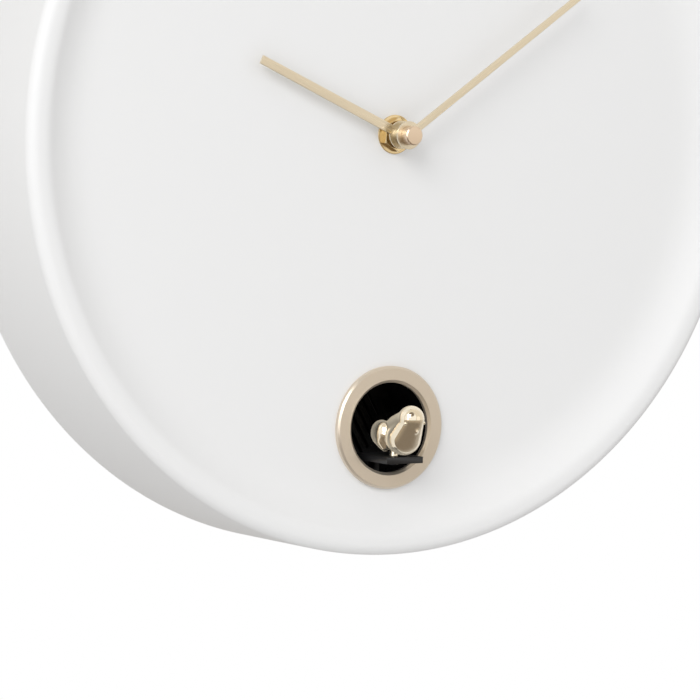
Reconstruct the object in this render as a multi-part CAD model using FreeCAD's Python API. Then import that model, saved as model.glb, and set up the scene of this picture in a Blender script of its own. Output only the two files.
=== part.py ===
import FreeCAD, Part
import math
import os
from FreeCAD import Vector

# Round wall clock with a bird that slides out of a window below the hands.
# Frame, in millimetres: X to the right and Z up as seen from the front.  Y = 0 is the
# wall plane, the front faces -Y, and the origin lies on the hand axis.

# ---- Driving dimensions -----------------------------------------------------------
CASE_R = 150.0            # outer radius of the case
CASE_DEPTH = 54.0         # wall plane to the crest of the lip
WALL = 2.6                # wall thickness of the moulded case
DIAL_R = 133.0            # flat dial, up to the foot of the cove
DIAL_RECESS = 6.0         # dial below the crest of the lip
LIP_IN_R = 142.4          # where the cove meets the lip
DIAL_Y = -(CASE_DEPTH - DIAL_RECESS)
DIAL_BACK_Y = DIAL_Y + WALL

WINDOW_Z = -104.5         # centre of the bird's window below the hand axis
WINDOW_R = 16.5           # clear radius of the window and of the niche behind it
BEZEL_R = 22.0
BEZEL_PROUD = 2.2
BEZEL_EDGE = 0.7          # outer chamfer and inner rounding of the bezel
WINDOW_HOLE_R = WINDOW_R + 1.6   # hole in the dial, lined by the mouth of the niche
NICHE_WALL = 2.0
NICHE_BACK_Y = -20.0      # front face of the niche's back wall

HOUR_ANGLE = 293.9        # clockwise from twelve, as seen from the front
MINUTE_ANGLE = 54.9
HOUR_LENGTH = 64.0
MINUTE_LENGTH = 90.0      # passes above the bird when it is out

SLED_TRAVEL = 17.0
SLED_TOP_Z = WINDOW_Z - 9.7
SLED_FRONT_Y = DIAL_Y - 12.0
SLED_WIDTH = 15.2
SLED_LENGTH = 22.0
KEEL_THICK = 2.0          # runs in the slot of the niche's floor
KEEL_LENGTH = 3.5
SLED_THICK = 2.3

COVER_Y = (-3.0, -1.0)    # inner and outer face of the back cover
PILLARS = [(142.5, angle) for angle in range(0, 360, 60)]
PILLAR_START_Y = -49.5     # inside the thickness of the cove

# Gear tooth proportions, in modules.
ADDENDUM = 0.85
DEDENDUM = 1.2
HALF_TOOTH = 0.64
HALF_TIP = 0.24

BORE_GAP = 0.05           # running clearance of every arbor and axle, on the radius


# ---- Shape helpers ----------------------------------------------------------------
def ahead(height):
    """The Y of a plane that stands the given height in front of the dial."""
    return DIAL_Y - height


def rod(x, z, y0, y1, radius):
    """A cylinder along Y."""
    return Part.makeCylinder(radius, y1 - y0, Vector(x, y0, z), Vector(0, 1, 0))


def cross_rod(x0, x1, y, z, radius):
    """A cylinder along X."""
    return Part.makeCylinder(radius, x1 - x0, Vector(x0, y, z), Vector(1, 0, 0))


def rod_z(x, y, z0, z1, radius):
    """A cylinder along Z."""
    return Part.makeCylinder(radius, z1 - z0, Vector(x, y, z0))


def ring(x, z, y0, y1, outer, inner):
    """A tube along Y."""
    return rod(x, z, y0, y1, outer).cut(rod(x, z, y0, y1, inner))


def block(x0, x1, y0, y1, z0, z1):
    return Part.makeBox(x1 - x0, y1 - y0, z1 - z0, Vector(x0, y0, z0))


def rounded_block(x0, x1, y0, y1, z0, z1, radius):
    """A block whose four edges along Y are rounded."""
    body = block(x0, x1, y0, y1, z0, z1)
    edges = [edge for edge in body.Edges
             if abs(edge.tangentAt(edge.FirstParameter).y) > 0.9]
    return body.makeFillet(radius, edges)


def shell_box(x0, x1, y0, y1, z0, z1, wall, radius, open_side):
    """A rounded box with one open face: open_side is 1 for its +Y face, -1 for its -Y face."""
    outer = rounded_block(x0, x1, y0, y1, z0, z1, radius)
    front = y0 if open_side < 0 else y0 + wall
    back = y1 if open_side > 0 else y1 - wall
    inner = rounded_block(x0 + wall, x1 - wall, front, back, z0 + wall, z1 - wall, radius - wall)
    return outer.cut(inner)


def fused(*pieces):
    body = pieces[0].fuse(list(pieces[1:]))
    return body.removeSplitter()


def turned(corners, x=0.0, z=0.0):
    """Revolves a closed outline of (radius, y, rounding) corners about the line along Y
    through (x, z).  Each corner with a rounding becomes a tangent arc."""
    count = len(corners)
    edges = []
    ends = []
    for index, (radius, y, rounding) in enumerate(corners):
        here = Vector(radius, y, 0)
        before = Vector(corners[index - 1][0], corners[index - 1][1], 0) - here
        after_corner = corners[(index + 1) % count]
        after = Vector(after_corner[0], after_corner[1], 0) - here
        if rounding == 0:
            ends.append((here, here))
            continue
        before.normalize()
        after.normalize()
        half = before.getAngle(after) / 2
        reach = rounding / math.tan(half)
        bisector = (before + after).normalize()
        centre = here + bisector * (rounding / math.sin(half))
        middle = centre - bisector * rounding
        start = here + before * reach
        stop = here + after * reach
        edges.append(Part.Arc(start, middle, stop).toShape())
        ends.append((start, stop))
    for index in range(count):
        start = ends[index][1]
        stop = ends[(index + 1) % count][0]
        if (stop - start).Length > 1e-6:
            edges.append(Part.LineSegment(start, stop).toShape())
    outline = Part.Wire(Part.__sortEdges__(edges))
    body = Part.Face(outline).revolve(Vector(0, 0, 0), Vector(0, 1, 0), 360)
    body = Part.Solid(body) if body.ShapeType != "Solid" else body
    if body.Volume < 0:
        body.reverse()
    body.translate(Vector(x, 0, z))
    return body


def gear(teeth, module, centre, start, end, phase=0.0, axis="Y"):
    """A spur gear.  Its flanks are radial below the pitch circle and lean in above it.
    centre is (x, z) for a gear along Y, and (y, z) for one along X; phase is the angle in
    degrees of one tooth, from the first of those directions towards +Z."""
    pitch_r = module * teeth / 2
    root_r = pitch_r - DEDENDUM * module
    tip_r = pitch_r + ADDENDUM * module
    flank = HALF_TOOTH * module / pitch_r
    point = HALF_TIP * module / tip_r
    outline = ((root_r, -flank), (pitch_r, -flank), (tip_r, -point),
               (tip_r, point), (pitch_r, flank), (root_r, flank))
    corners = []
    for tooth in range(teeth):
        middle = math.radians(phase) + 2 * math.pi * tooth / teeth
        for radius, turn in outline:
            u = centre[0] + radius * math.cos(middle + turn)
            v = centre[1] + radius * math.sin(middle + turn)
            corners.append(Vector(u, start, v) if axis == "Y" else Vector(start, u, v))
    along = Vector(0, end - start, 0) if axis == "Y" else Vector(end - start, 0, 0)
    return Part.Face(Part.makePolygon(corners + corners[:1])).extrude(along)


def meshed(phase, teeth, other_teeth, direction):
    """The phase of the other gear, so that it meshes with a gear of the given phase.
    direction is the angle from the first gear's centre to the other's."""
    arc = (phase - direction) * teeth / other_teeth
    return direction + 180 - arc + 180 / other_teeth


def at_angle(centre, direction, distance):
    """The point at a distance and direction, in degrees, from a centre."""
    turn = math.radians(direction)
    return (centre[0] + distance * math.cos(turn), centre[1] + distance * math.sin(turn))


def pan_screw(x, z, head_y, into, head_r=2.3, head_h=1.4, shank_r=1.0, length=3.2):
    """A pan-head screw along Y.  Its head bears on head_y, and into is +1 when the shank
    points to +Y and -1 when it points to -Y."""
    if into > 0:
        head = rod(x, z, head_y - head_h, head_y, head_r)
        shank = rod(x, z, head_y, head_y + length, shank_r)
        slot_y = (head_y - head_h, head_y - head_h / 2)
    else:
        head = rod(x, z, head_y, head_y + head_h, head_r)
        shank = rod(x, z, head_y - length, head_y, shank_r)
        slot_y = (head_y + head_h / 2, head_y + head_h)
    screw = head.fuse(shank)
    for wide, tall in ((0.5, 2.6), (2.6, 0.5)):
        screw = screw.cut(block(x - wide / 2, x + wide / 2, *slot_y, z - tall / 2, z + tall / 2))
    return screw


def wire(points, radius):
    """A round wire along straight runs that are joined by tangent arcs.  Each arc's radius
    is 0.45 of its shorter run, divided by the tangent of half its turn."""
    route = [Vector(*point) for point in points]
    edges = []
    start = route[0]
    radii = []
    for before, here, after in zip(route, route[1:], route[2:]):
        back = (before - here).normalize()
        onward = (after - here).normalize()
        half_turn = (math.pi - back.getAngle(onward)) / 2
        reach = 0.45 * min((before - here).Length, (after - here).Length)
        bend = reach / math.tan(half_turn)
        bisector = (back + onward).normalize()
        middle = here + bisector * (bend / math.cos(half_turn) - bend)
        radii.append(round(bend, 1))
        edges.append(Part.LineSegment(start, here + back * reach).toShape())
        edges.append(Part.Arc(here + back * reach, middle, here + onward * reach).toShape())
        start = here + onward * reach
    edges.append(Part.LineSegment(start, route[-1]).toShape())
    path = Part.Wire(edges)
    section = Part.Wire(Part.makeCircle(radius, route[0], route[1] - route[0]))
    body = path.makePipeShell([section], True, False)
    share = body.Volume / (math.pi * radius ** 2 * path.Length)
    print("wire radii", radii, "length", round(path.Length, 1), "volume share", round(share, 3))
    return body


# ---- Case -------------------------------------------------------------------------
NICHE_EAR_R = 25.5                       # pitch radius of the niche's screw ears
NICHE_EARS = [at_angle((0, WINDOW_Z), direction, NICHE_EAR_R) for direction in (0, 90, 180)]
NICHE_BOSS_Y = DIAL_BACK_Y + 4.0
LUG_R = 3.2


def case_shell():
    """Dial, cove, lip and side wall in one moulding, with its bosses and pillars."""
    slant = math.atan2(DIAL_RECESS, LIP_IN_R - DIAL_R)
    shift = WALL * math.tan(slant / 2)
    crest = -CASE_DEPTH
    inner_r = CASE_R - WALL
    body = turned([
        (4.1, DIAL_Y, 0), (DIAL_R, DIAL_Y, 2.5), (LIP_IN_R, crest, 7.0), (CASE_R, crest, 4.0),
        (CASE_R, 0, 0.8), (inner_r, 0, 0.4), (inner_r, crest + WALL, 1.5),
        (LIP_IN_R + shift, crest + WALL, 1.5), (DIAL_R + shift, DIAL_BACK_Y, 0),
        (4.1, DIAL_BACK_Y, 0)])
    additions = [rod(*at_angle((0, 0), angle, radius), PILLAR_START_Y, COVER_Y[0], 5.0)
                 for radius, angle in PILLARS]
    additions += [rod(x, z, DIAL_BACK_Y - 1.0, NICHE_BOSS_Y, LUG_R) for x, z in NICHE_EARS]
    body = fused(body, *additions)
    for radius, angle in PILLARS:
        body = body.cut(rod(*at_angle((0, 0), angle, radius), COVER_Y[0] - 10, COVER_Y[0], 1.4))
    for x, z in NICHE_EARS:
        body = body.cut(rod(x, z, NICHE_BOSS_Y - 1.6, NICHE_BOSS_Y, 1.0))
    return body.cut(rod(0, WINDOW_Z, DIAL_Y - 1, DIAL_BACK_Y + 1, WINDOW_HOLE_R))


# ---- Back cover and what it carries -------------------------------------------------
ACCESS_R = 34.0                          # round opening behind the movement
BOARD = (-102.0, -50.0, -30.0, 30.0)     # x0, x1, z0, z1 of the main board
BOARD_Y = (-11.6, -10.0)
BOARD_SCREWS = [(x, z) for x in (-98.5, -53.5) for z in (-26.5, 26.5)]
SWITCH_AT = (-64.0, 14.0)
SWITCH_TRAVEL = 4.0
VOLUME_AT = (-82.0, 0.0)
BOX_AT = (72.0, 0.0)                     # centre of the battery box
CELL_PITCH = 15.2
BOX_HALF = (1.5 * CELL_PITCH + 0.4, 27.5)
BOX_WALL = 1.6
DOOR_HALF = (26.0, 30.5)
DOOR_GAP = 0.3
BOX_SCREWS = [(BOX_AT[0] + x, BOX_AT[1] + z) for x in (-28.6, 28.6) for z in (-20, 20)]
HANGER_Z = 118.0
HANGER_HALF = (22.0, 11.0)
BUMPERS = [(-60.0, -112.0), (60.0, -112.0), (0.0, 96.0)]
SENSOR_Z = WINDOW_Z - 21.0


def back_cover():
    y0, y1 = COVER_Y
    body = rod(0, 0, y0, y1, CASE_R - WALL - 0.4)
    pads = [ring(0, 0, y0 - 3, y0, ACCESS_R + 2, ACCESS_R)]
    pads += [rod(x, z, BOARD_Y[1], y0, 3.0) for x, z in BOARD_SCREWS]
    pads.append(rounded_block(-HANGER_HALF[0], HANGER_HALF[0], y0 - 5, y0,
                              HANGER_Z - HANGER_HALF[1], HANGER_Z + HANGER_HALF[1], 3))
    body = fused(body, *pads)
    body = body.cut(rod(0, 0, y0 - 4, y1, ACCESS_R))
    x, z = BOX_AT
    body = body.cut(rounded_block(x - DOOR_HALF[0] - DOOR_GAP, x + DOOR_HALF[0] + DOOR_GAP, y0, y1,
                                  z - DOOR_HALF[1] - DOOR_GAP, z + DOOR_HALF[1] + DOOR_GAP, 2.3))
    x, z = SWITCH_AT
    body = body.cut(rounded_block(x - 4.4, x + 4.4, y0, y1, z - 1.9, z + 1.9, 1.0))
    body = body.cut(rod(*VOLUME_AT, y0, y1, 6.1))
    body = body.cut(block(-14, 14, y0 - 4, y1, HANGER_Z - 7, HANGER_Z + 7))
    for hole_x in (-18, 18):
        body = body.cut(rod(hole_x, HANGER_Z, y1 - 3.2, y1, 1.0))
    for radius, angle in PILLARS:
        spot = at_angle((0, 0), angle, radius)
        body = body.cut(rod(*spot, y0, y1, 1.7))
        body = body.cut(rod(*spot, y1 - 1.2, y1, 3.4))
    for x, z in BOARD_SCREWS:
        body = body.cut(rod(x, z, BOARD_Y[1], BOARD_Y[1] + 1.6, 1.0))
    for x, z in BOX_SCREWS:
        body = body.cut(rod(x, z, y0, y0 + 1.6, 1.0))
    return body


def cover_screws():
    screws = [pan_screw(*at_angle((0, 0), angle, radius), COVER_Y[1] - 1.2, -1,
                        head_r=3.0, head_h=1.2, shank_r=1.4, length=9.0)
              for radius, angle in PILLARS]
    return Part.makeCompound(screws)


def hanger_plate():
    """A steel keyhole plate, flush with the rear edge of the case."""
    y0, y1 = COVER_Y[1], 0.0
    plate = rounded_block(-HANGER_HALF[0], HANGER_HALF[0], y0, y1,
                          HANGER_Z - HANGER_HALF[1], HANGER_Z + HANGER_HALF[1], 2)
    entry = rod(0, HANGER_Z - 3, y0, y1, 4.0)
    slot = block(-2, 2, y0, y1, HANGER_Z - 3, HANGER_Z + 5).fuse(rod(0, HANGER_Z + 5, y0, y1, 2.0))
    plate = plate.cut(entry).cut(slot)
    for hole_x in (-18, 18):
        plate = plate.cut(Part.makeCone(1.0, 2.0, 1.0, Vector(hole_x, y0, HANGER_Z), Vector(0, 1, 0)))
    return plate


def hanger_screws():
    """Two countersunk screws, flush with the plate."""
    screws = []
    for x in (-18, 18):
        head = Part.makeCone(1.0, 2.0, 1.0, Vector(x, COVER_Y[1], HANGER_Z), Vector(0, 1, 0))
        shank = rod(x, HANGER_Z, COVER_Y[1] - 3.2, COVER_Y[1], 1.0)
        slot = block(x - 1.4, x + 1.4, -0.5, 0, HANGER_Z - 0.25, HANGER_Z + 0.25)
        screws.append(head.fuse(shank).cut(slot))
    return Part.makeCompound(screws)


def wall_bumpers():
    return Part.makeCompound([rod(x, z, COVER_Y[1], 0.0, 5.0) for x, z in BUMPERS])


def battery_box():
    """A tray for three cells side by side, its flange against the inside of the cover."""
    x, z = BOX_AT
    half_x, half_z = BOX_HALF
    y1 = COVER_Y[0]
    floor_y = y1 - 17.0
    tray = block(x - half_x - BOX_WALL, x + half_x + BOX_WALL, floor_y, y1,
                 z - half_z - BOX_WALL, z + half_z + BOX_WALL)
    flange = rounded_block(x - 31, x + 31, y1 - BOX_WALL, y1, z - 35, z + 35, 3)
    body = fused(tray, flange)
    body = body.cut(block(x - half_x, x + half_x, floor_y + BOX_WALL, y1, z - half_z, z + half_z))
    for side in (-1, 1):
        rib_x = x + side * CELL_PITCH / 2
        body = body.fuse(block(rib_x - 0.4, rib_x + 0.4, floor_y + BOX_WALL, floor_y + 5, z - 20, z + 20))
    for hole_x, hole_z in BOX_SCREWS:
        body = body.cut(rod(hole_x, hole_z, y1 - BOX_WALL, y1, 1.0))
    return body.removeSplitter()


CELL_R = 7.1
CELL_Y = COVER_Y[0] - 8.0


def cell_axes():
    """Centre X and the direction of each cell's cap, up or down by turns."""
    return [(BOX_AT[0] + step * CELL_PITCH, 1 if step % 2 else -1) for step in (-1, 0, 1)]


def batteries():
    cells = []
    for x, up in cell_axes():
        base = Vector(x, CELL_Y, BOX_AT[1] - up * 24.8)
        can = Part.makeCylinder(CELL_R, 49.0, base, Vector(0, 0, up))
        cap = Part.makeCylinder(2.7, 1.0, base + Vector(0, 0, up * 49.0), Vector(0, 0, up))
        cells.append(can.fuse(cap))
    return Part.makeCompound(cells)


def battery_contacts():
    """A flat plate at each cap and a plate with a tapered spring at each base."""
    pieces = []
    for x, up in cell_axes():
        cap_end = BOX_AT[1] + up * (BOX_HALF[1])
        base_end = BOX_AT[1] - up * (BOX_HALF[1])
        z0, z1 = sorted((cap_end, cap_end - up * 0.4))
        pieces.append(block(x - 5, x + 5, CELL_Y - 5, CELL_Y + 5, z0, z1))
        z0, z1 = sorted((base_end, base_end + up * 0.4))
        plate = block(x - 5, x + 5, CELL_Y - 5, CELL_Y + 5, z0, z1)
        foot = Vector(x, CELL_Y, base_end + up * 0.4)
        spring = Part.makeCone(4.4, 2.6, 2.2, foot, Vector(0, 0, up))
        spring = spring.cut(Part.makeCone(3.8, 2.0, 2.2, foot, Vector(0, 0, up)))
        pieces.append(plate.fuse(spring))
    return Part.makeCompound(pieces)


def battery_door():
    x, z = BOX_AT
    y0, y1 = COVER_Y
    body = rounded_block(x - DOOR_HALF[0], x + DOOR_HALF[0], y0, y1,
                         z - DOOR_HALF[1], z + DOOR_HALF[1], 2.0)
    grip = Part.makeCylinder(9.0, 16.0, Vector(x - 8, y1 + 8.0, z + 22), Vector(1, 0, 0))
    return body.cut(grip)


# ---- Electronics ------------------------------------------------------------------
CONNECTOR_Z = (-17.0, -8.0, 1.0, 10.0)
WIRE_Y = BOARD_Y[0] - 2.0


def main_board():
    x0, x1, z0, z1 = BOARD
    body = rounded_block(x0, x1, *BOARD_Y, z0, z1, 1.5)
    for x, z in BOARD_SCREWS:
        body = body.cut(rod(x, z, *BOARD_Y, 1.0))
    return body


def board_chips():
    front = BOARD_Y[0]
    sizes = ((-82.0, 10.0, 8.0, 10.0), (-68.0, -8.0, 5.0, 6.0), (-90.0, -14.0, 5.0, 4.0))
    chips = [block(x - wide / 2, x + wide / 2, front - 1.5, front, z - tall / 2, z + tall / 2)
             for x, z, wide, tall in sizes]
    return Part.makeCompound(chips)


def board_capacitors():
    front = BOARD_Y[0]
    return Part.makeCompound([rod(x, z, front - 7.0, front, 2.5)
                              for x, z in ((-94, 18), (-94, 10), (-74, -20))])


def wire_connectors():
    front = BOARD_Y[0]
    right = BOARD[1] - 1.0
    return Part.makeCompound([block(right - 5, right, front - 4, front, z - 3, z + 3)
                              for z in CONNECTOR_Z])


def switch_body():
    x, z = SWITCH_AT
    body = block(x - 5, x + 5, BOARD_Y[1], -6, z - 2.4, z + 2.4)
    return body.cut(block(x - 3.6, x + 3.6, -7, -6, z - 1.3, z + 1.3))


def switch_slider():
    x, z = SWITCH_AT
    left = x - 3.2
    return block(left, left + 2.4, -6.9, -1.8, z - 1.2, z + 1.2)


def volume_body():
    return ring(*VOLUME_AT, BOARD_Y[1], -7.2, 6.0, 1.5 + BORE_GAP)


def volume_knob():
    x, z = VOLUME_AT
    knob = fused(rod(x, z, BOARD_Y[1], -6.6, 1.5), rod(x, z, -6.8, -1.4, 5.5))
    return knob.cut(block(x - 0.5, x + 0.5, -2.2, -1.4, z, z + 5.6))


# ---- Quartz movement ----------------------------------------------------------------
MOVEMENT_HALF = 28.0
MOVEMENT_Y = (DIAL_BACK_Y + 1.0, DIAL_BACK_Y + 17.0)
MOVEMENT_SPLIT_Y = DIAL_BACK_Y + 11.4
SHELL_WALL = 1.0
PIVOT_Y = (MOVEMENT_Y[0] + 1.4, MOVEMENT_Y[1] - 1.4)
BUSHING_R = 4.0
HOUR_TUBE_R = 2.5
CENTRE_ARBOR_R = 1.6

CENTRE = (0.0, 0.0)
MINUTE_AXIS = at_angle(CENTRE, 225, 9.0)
SETTING_AXIS = at_angle(MINUTE_AXIS, 225, 9.0)
THIRD_AXIS = at_angle(CENTRE, 45, 9.0)
SECONDS_AXIS = at_angle(THIRD_AXIS, 135, 8.5)
FIFTH_AXIS = at_angle(SECONDS_AXIS, 180, 7.0)
ROTOR_AXIS = at_angle(FIFTH_AXIS, 200, 6.0)
ARBORS = {"centre": (CENTRE, 0.5), "minute": (MINUTE_AXIS, 0.5), "setting": (SETTING_AXIS, 0.9),
          "third": (THIRD_AXIS, 0.35), "seconds": (SECONDS_AXIS, 0.35),
          "fifth": (FIFTH_AXIS, 0.35), "rotor": (ROTOR_AXIS, 0.35)}
MOVEMENT_BOARD_POSTS = [(8.0, -18.0), (20.0, -18.0)]


def movement_front():
    y0 = MOVEMENT_Y[0]
    body = shell_box(-MOVEMENT_HALF, MOVEMENT_HALF, y0, MOVEMENT_SPLIT_Y,
                     -MOVEMENT_HALF, MOVEMENT_HALF, SHELL_WALL, 4.0, 1)
    body = body.cut(rod(0, 0, y0, y0 + SHELL_WALL, BUSHING_R))
    for name, (axis, radius) in ARBORS.items():
        if name == "centre":
            continue
        body = body.fuse(rod(*axis, y0 + SHELL_WALL, y0 + 1.8, radius + 0.6))
        body = body.cut(rod(*axis, PIVOT_Y[0] - 0.1, y0 + 1.8, radius + BORE_GAP))
    return body.removeSplitter()


def movement_back():
    y1 = MOVEMENT_Y[1]
    body = shell_box(-MOVEMENT_HALF, MOVEMENT_HALF, MOVEMENT_SPLIT_Y, y1,
                     -MOVEMENT_HALF, MOVEMENT_HALF, SHELL_WALL, 4.0, -1)
    for name, (axis, radius) in ARBORS.items():
        body = body.fuse(rod(*axis, y1 - 1.8, y1 - SHELL_WALL, radius + 0.6))
        deep = y1 if name == "setting" else PIVOT_Y[1] + 0.1
        body = body.cut(rod(*axis, y1 - 1.8, deep, radius + BORE_GAP))
    for x, z in MOVEMENT_BOARD_POSTS:
        body = body.fuse(rod(x, z, y1 - 2.0, y1 - SHELL_WALL, 1.4))
    return body.removeSplitter()


def threaded_bushing():
    flange_y = MOVEMENT_Y[0] + SHELL_WALL
    bore_r = HOUR_TUBE_R + BORE_GAP
    return turned([(bore_r, ahead(3.6), 0), (BUSHING_R - 0.3, ahead(3.6), 0),
                   (BUSHING_R, ahead(3.3), 0), (BUSHING_R, flange_y, 0), (6.0, flange_y, 0),
                   (6.0, flange_y + 0.7, 0), (bore_r, flange_y + 0.7, 0)])


def rubber_washer():
    return ring(0, 0, DIAL_BACK_Y, MOVEMENT_Y[0], 8.0, BUSHING_R)


def dial_washer():
    return ring(0, 0, ahead(0.5), DIAL_Y, 7.0, BUSHING_R)


def hex_nut():
    """A thin nut, 10.6 across flats, with chamfered corners on its front face."""
    corner_r = 10.6 / math.sqrt(3)
    corners = [Vector(*at_angle((0, 0), 60 * step, corner_r), 0) for step in range(7)]
    corners = [Vector(point.x, ahead(3.0), point.y) for point in corners]
    body = Part.Face(Part.makePolygon(corners)).extrude(Vector(0, 2.5, 0))
    dome = turned([(0, ahead(3.0), 0), (5.2, ahead(3.0), 0), (6.8, ahead(2.2), 0),
                   (6.8, ahead(0.5), 0), (0, ahead(0.5), 0)])
    return body.common(dome).cut(rod(0, 0, ahead(3.0), ahead(0.5), BUSHING_R))


def hand(length, root_width, tip_width, blade, disc_y, boss_r, boss_y, bore_r, angle):
    """A flat straight hand on a round disc and a boss, turned clockwise from twelve.
    blade, disc_y and boss_y are (front, back) heights above the dial."""
    front, back = ahead(blade[1]), ahead(blade[0])
    half_root = root_width / 2
    half_tip = tip_width / 2
    outline = [Vector(-half_root, front, 0), Vector(half_root, front, 0),
               Vector(half_tip, front, length), Vector(-half_tip, front, length)]
    bar = Part.Face(Part.makePolygon(outline + outline[:1])).extrude(Vector(0, back - front, 0))
    disc = rod(0, 0, ahead(disc_y[1]), ahead(disc_y[0]), 5.0)
    boss = rod(0, 0, ahead(boss_y[1]), ahead(boss_y[0]), boss_r)
    body = fused(bar, disc, boss)
    body = body.cut(rod(0, 0, ahead(14), ahead(3), bore_r))
    body.rotate(Vector(0, 0, 0), Vector(0, 1, 0), angle)
    return body


def hour_hand():
    return hand(HOUR_LENGTH, 3.4, 3.1, (4.0, 4.8), (4.0, 4.8), 3.2, (4.0, 6.4),
                HOUR_TUBE_R, HOUR_ANGLE)


def minute_hand():
    return hand(MINUTE_LENGTH, 2.8, 2.5, (9.0, 9.75), (9.0, 9.75), 2.4, (7.0, 9.75),
                CENTRE_ARBOR_R, MINUTE_ANGLE)


def cap_nut():
    body = turned([(0, ahead(13.4), 0), (3.4, ahead(13.4), 0.3), (3.4, ahead(9.75), 0),
                   (0, ahead(9.75), 0)])
    return body.cut(rod(0, 0, ahead(12.0), ahead(9.75), CENTRE_ARBOR_R))


# Mesh directions, and the phases that put each pair of gears in mesh.
PHASE = {"cannon": 0.0, "hour": 0.0, "centre": 0.0}
PHASE["minute"] = meshed(PHASE["cannon"], 12, 36, 225)
PHASE["minute_pinion"] = meshed(PHASE["hour"], 40, 10, 225)
PHASE["setting"] = meshed(PHASE["minute"], 36, 12, 225)
PHASE["third_pinion"] = meshed(PHASE["centre"], 64, 8, 45)
PHASE["seconds_pinion"] = meshed(0.0, 60, 8, 135)
PHASE["fifth_pinion"] = meshed(0.0, 60, 10, 180)
PHASE["rotor_pinion"] = meshed(0.0, 50, 10, 200)


def layer(depth, thick):
    """The (front, back) Y of a wheel whose front lies a depth inside the movement's face."""
    front = MOVEMENT_Y[0] + depth
    return front, front + thick


def hour_wheel():
    front, back = layer(1.9, 0.8)
    wheel = gear(40, 0.36, CENTRE, front, back, PHASE["hour"])
    body = fused(wheel, rod(0, 0, ahead(6.2), back, HOUR_TUBE_R))
    return body.cut(rod(0, 0, ahead(7), back + 1, CENTRE_ARBOR_R + BORE_GAP))


def centre_wheel():
    """The centre arbor with its cannon pinion, and the wheel that the train drives."""
    cannon = gear(12, 0.375, CENTRE, *layer(3.0, 1.2), PHASE["cannon"])
    wheel = gear(64, 0.25, CENTRE, *layer(4.8, 0.8), PHASE["centre"])
    arbor = rod(0, 0, ahead(12.0), layer(5.8, 0)[0], CENTRE_ARBOR_R)
    pivot = rod(0, 0, layer(5.8, 0)[0], PIVOT_Y[1], ARBORS["centre"][1])
    return fused(arbor, pivot, cannon, wheel)


def minute_wheel():
    wheel = gear(36, 0.375, MINUTE_AXIS, *layer(3.1, 1.0), PHASE["minute"])
    pinion = gear(10, 0.36, MINUTE_AXIS, *layer(1.8, 1.3), PHASE["minute_pinion"])
    return fused(wheel, pinion, rod(*MINUTE_AXIS, *PIVOT_Y, ARBORS["minute"][1]))


def train_wheel(teeth, module, wheel_depth, pinion_teeth, pinion_module, pinion_depth,
                pinion_phase, name):
    """A wheel, its pinion and their arbor, between the pivots of the two shells."""
    axis, radius = ARBORS[name]
    wheel = gear(teeth, module, axis, *layer(wheel_depth, 0.8))
    pinion = gear(pinion_teeth, pinion_module, axis, *layer(pinion_depth, wheel_depth - pinion_depth),
                  pinion_phase)
    return fused(wheel, pinion, rod(*axis, *PIVOT_Y, radius))


def third_wheel():
    return train_wheel(60, 0.25, 6.2, 8, 0.25, 4.7, PHASE["third_pinion"], "third")


def seconds_wheel():
    return train_wheel(60, 0.2, 7.6, 8, 0.25, 6.1, PHASE["seconds_pinion"], "seconds")


def fifth_wheel():
    return train_wheel(50, 0.2, 9.0, 10, 0.2, 7.5, PHASE["fifth_pinion"], "fifth")


def rotor():
    pinion = gear(10, 0.2, ROTOR_AXIS, *layer(8.9, 1.4), PHASE["rotor_pinion"])
    magnet = rod(*ROTOR_AXIS, *layer(10.3, 2.2), 2.8)
    return fused(pinion, magnet, rod(*ROTOR_AXIS, *PIVOT_Y, ARBORS["rotor"][1]))


STATOR_Y = layer(10.8, 0.8)
CORE_X = (-22.4, -19.6)
COIL_Z = (-12.0, 3.6)


def stator():
    """A flat lamination: two legs, the bar between them, and the pole piece with its hole."""
    head = block(CORE_X[0] - 1.6, -7.6, *STATOR_Y, 5.4, 15.2)
    core = block(*CORE_X, *STATOR_Y, -14.0, 5.4)
    leg = block(-10.4, -7.6, *STATOR_Y, -14.0, 5.4)
    bar = block(CORE_X[0] - 1.6, -7.6, *STATOR_Y, -16.6, -14.0)
    return fused(head, core, leg, bar).cut(rod(*ROTOR_AXIS, *STATOR_Y, 3.4))


def coil():
    """A winding on its bobbin, round the stator's long leg."""
    x = sum(CORE_X) / 2
    y = sum(STATOR_Y) / 2
    winding = Part.makeCylinder(2.9, COIL_Z[1] - COIL_Z[0], Vector(x, y, COIL_Z[0]))
    flanges = [Part.makeCylinder(3.4, 0.8, Vector(x, y, z)) for z in (COIL_Z[0], COIL_Z[1] - 0.8)]
    return fused(winding, *flanges).cut(block(*CORE_X, *STATOR_Y, COIL_Z[0], COIL_Z[1]))


def movement_board():
    y1 = MOVEMENT_Y[1] - 2.0
    return block(2.0, 26.0, y1 - 1.0, y1, -26.0, -10.0)


def quartz_crystal():
    y = MOVEMENT_Y[1] - 4.1
    return cross_rod(14.0, 20.0, y, -14.0, 1.1)


def movement_chip():
    y1 = MOVEMENT_Y[1] - 3.0
    return rod(8.0, -22.0, y1 - 0.8, y1, 2.4)


def setting_knob():
    """The setting stem with its pinion, and the knurled knob behind the movement."""
    back = MOVEMENT_Y[1]
    pinion = gear(12, 0.375, SETTING_AXIS, *layer(3.0, 1.2), PHASE["setting"])
    stem = rod(*SETTING_AXIS, PIVOT_Y[0], back + 0.6, ARBORS["setting"][1])
    knob = gear(36, 0.28, SETTING_AXIS, back + 0.6, back + 4.6)
    return fused(pinion, stem, knob)


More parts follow.
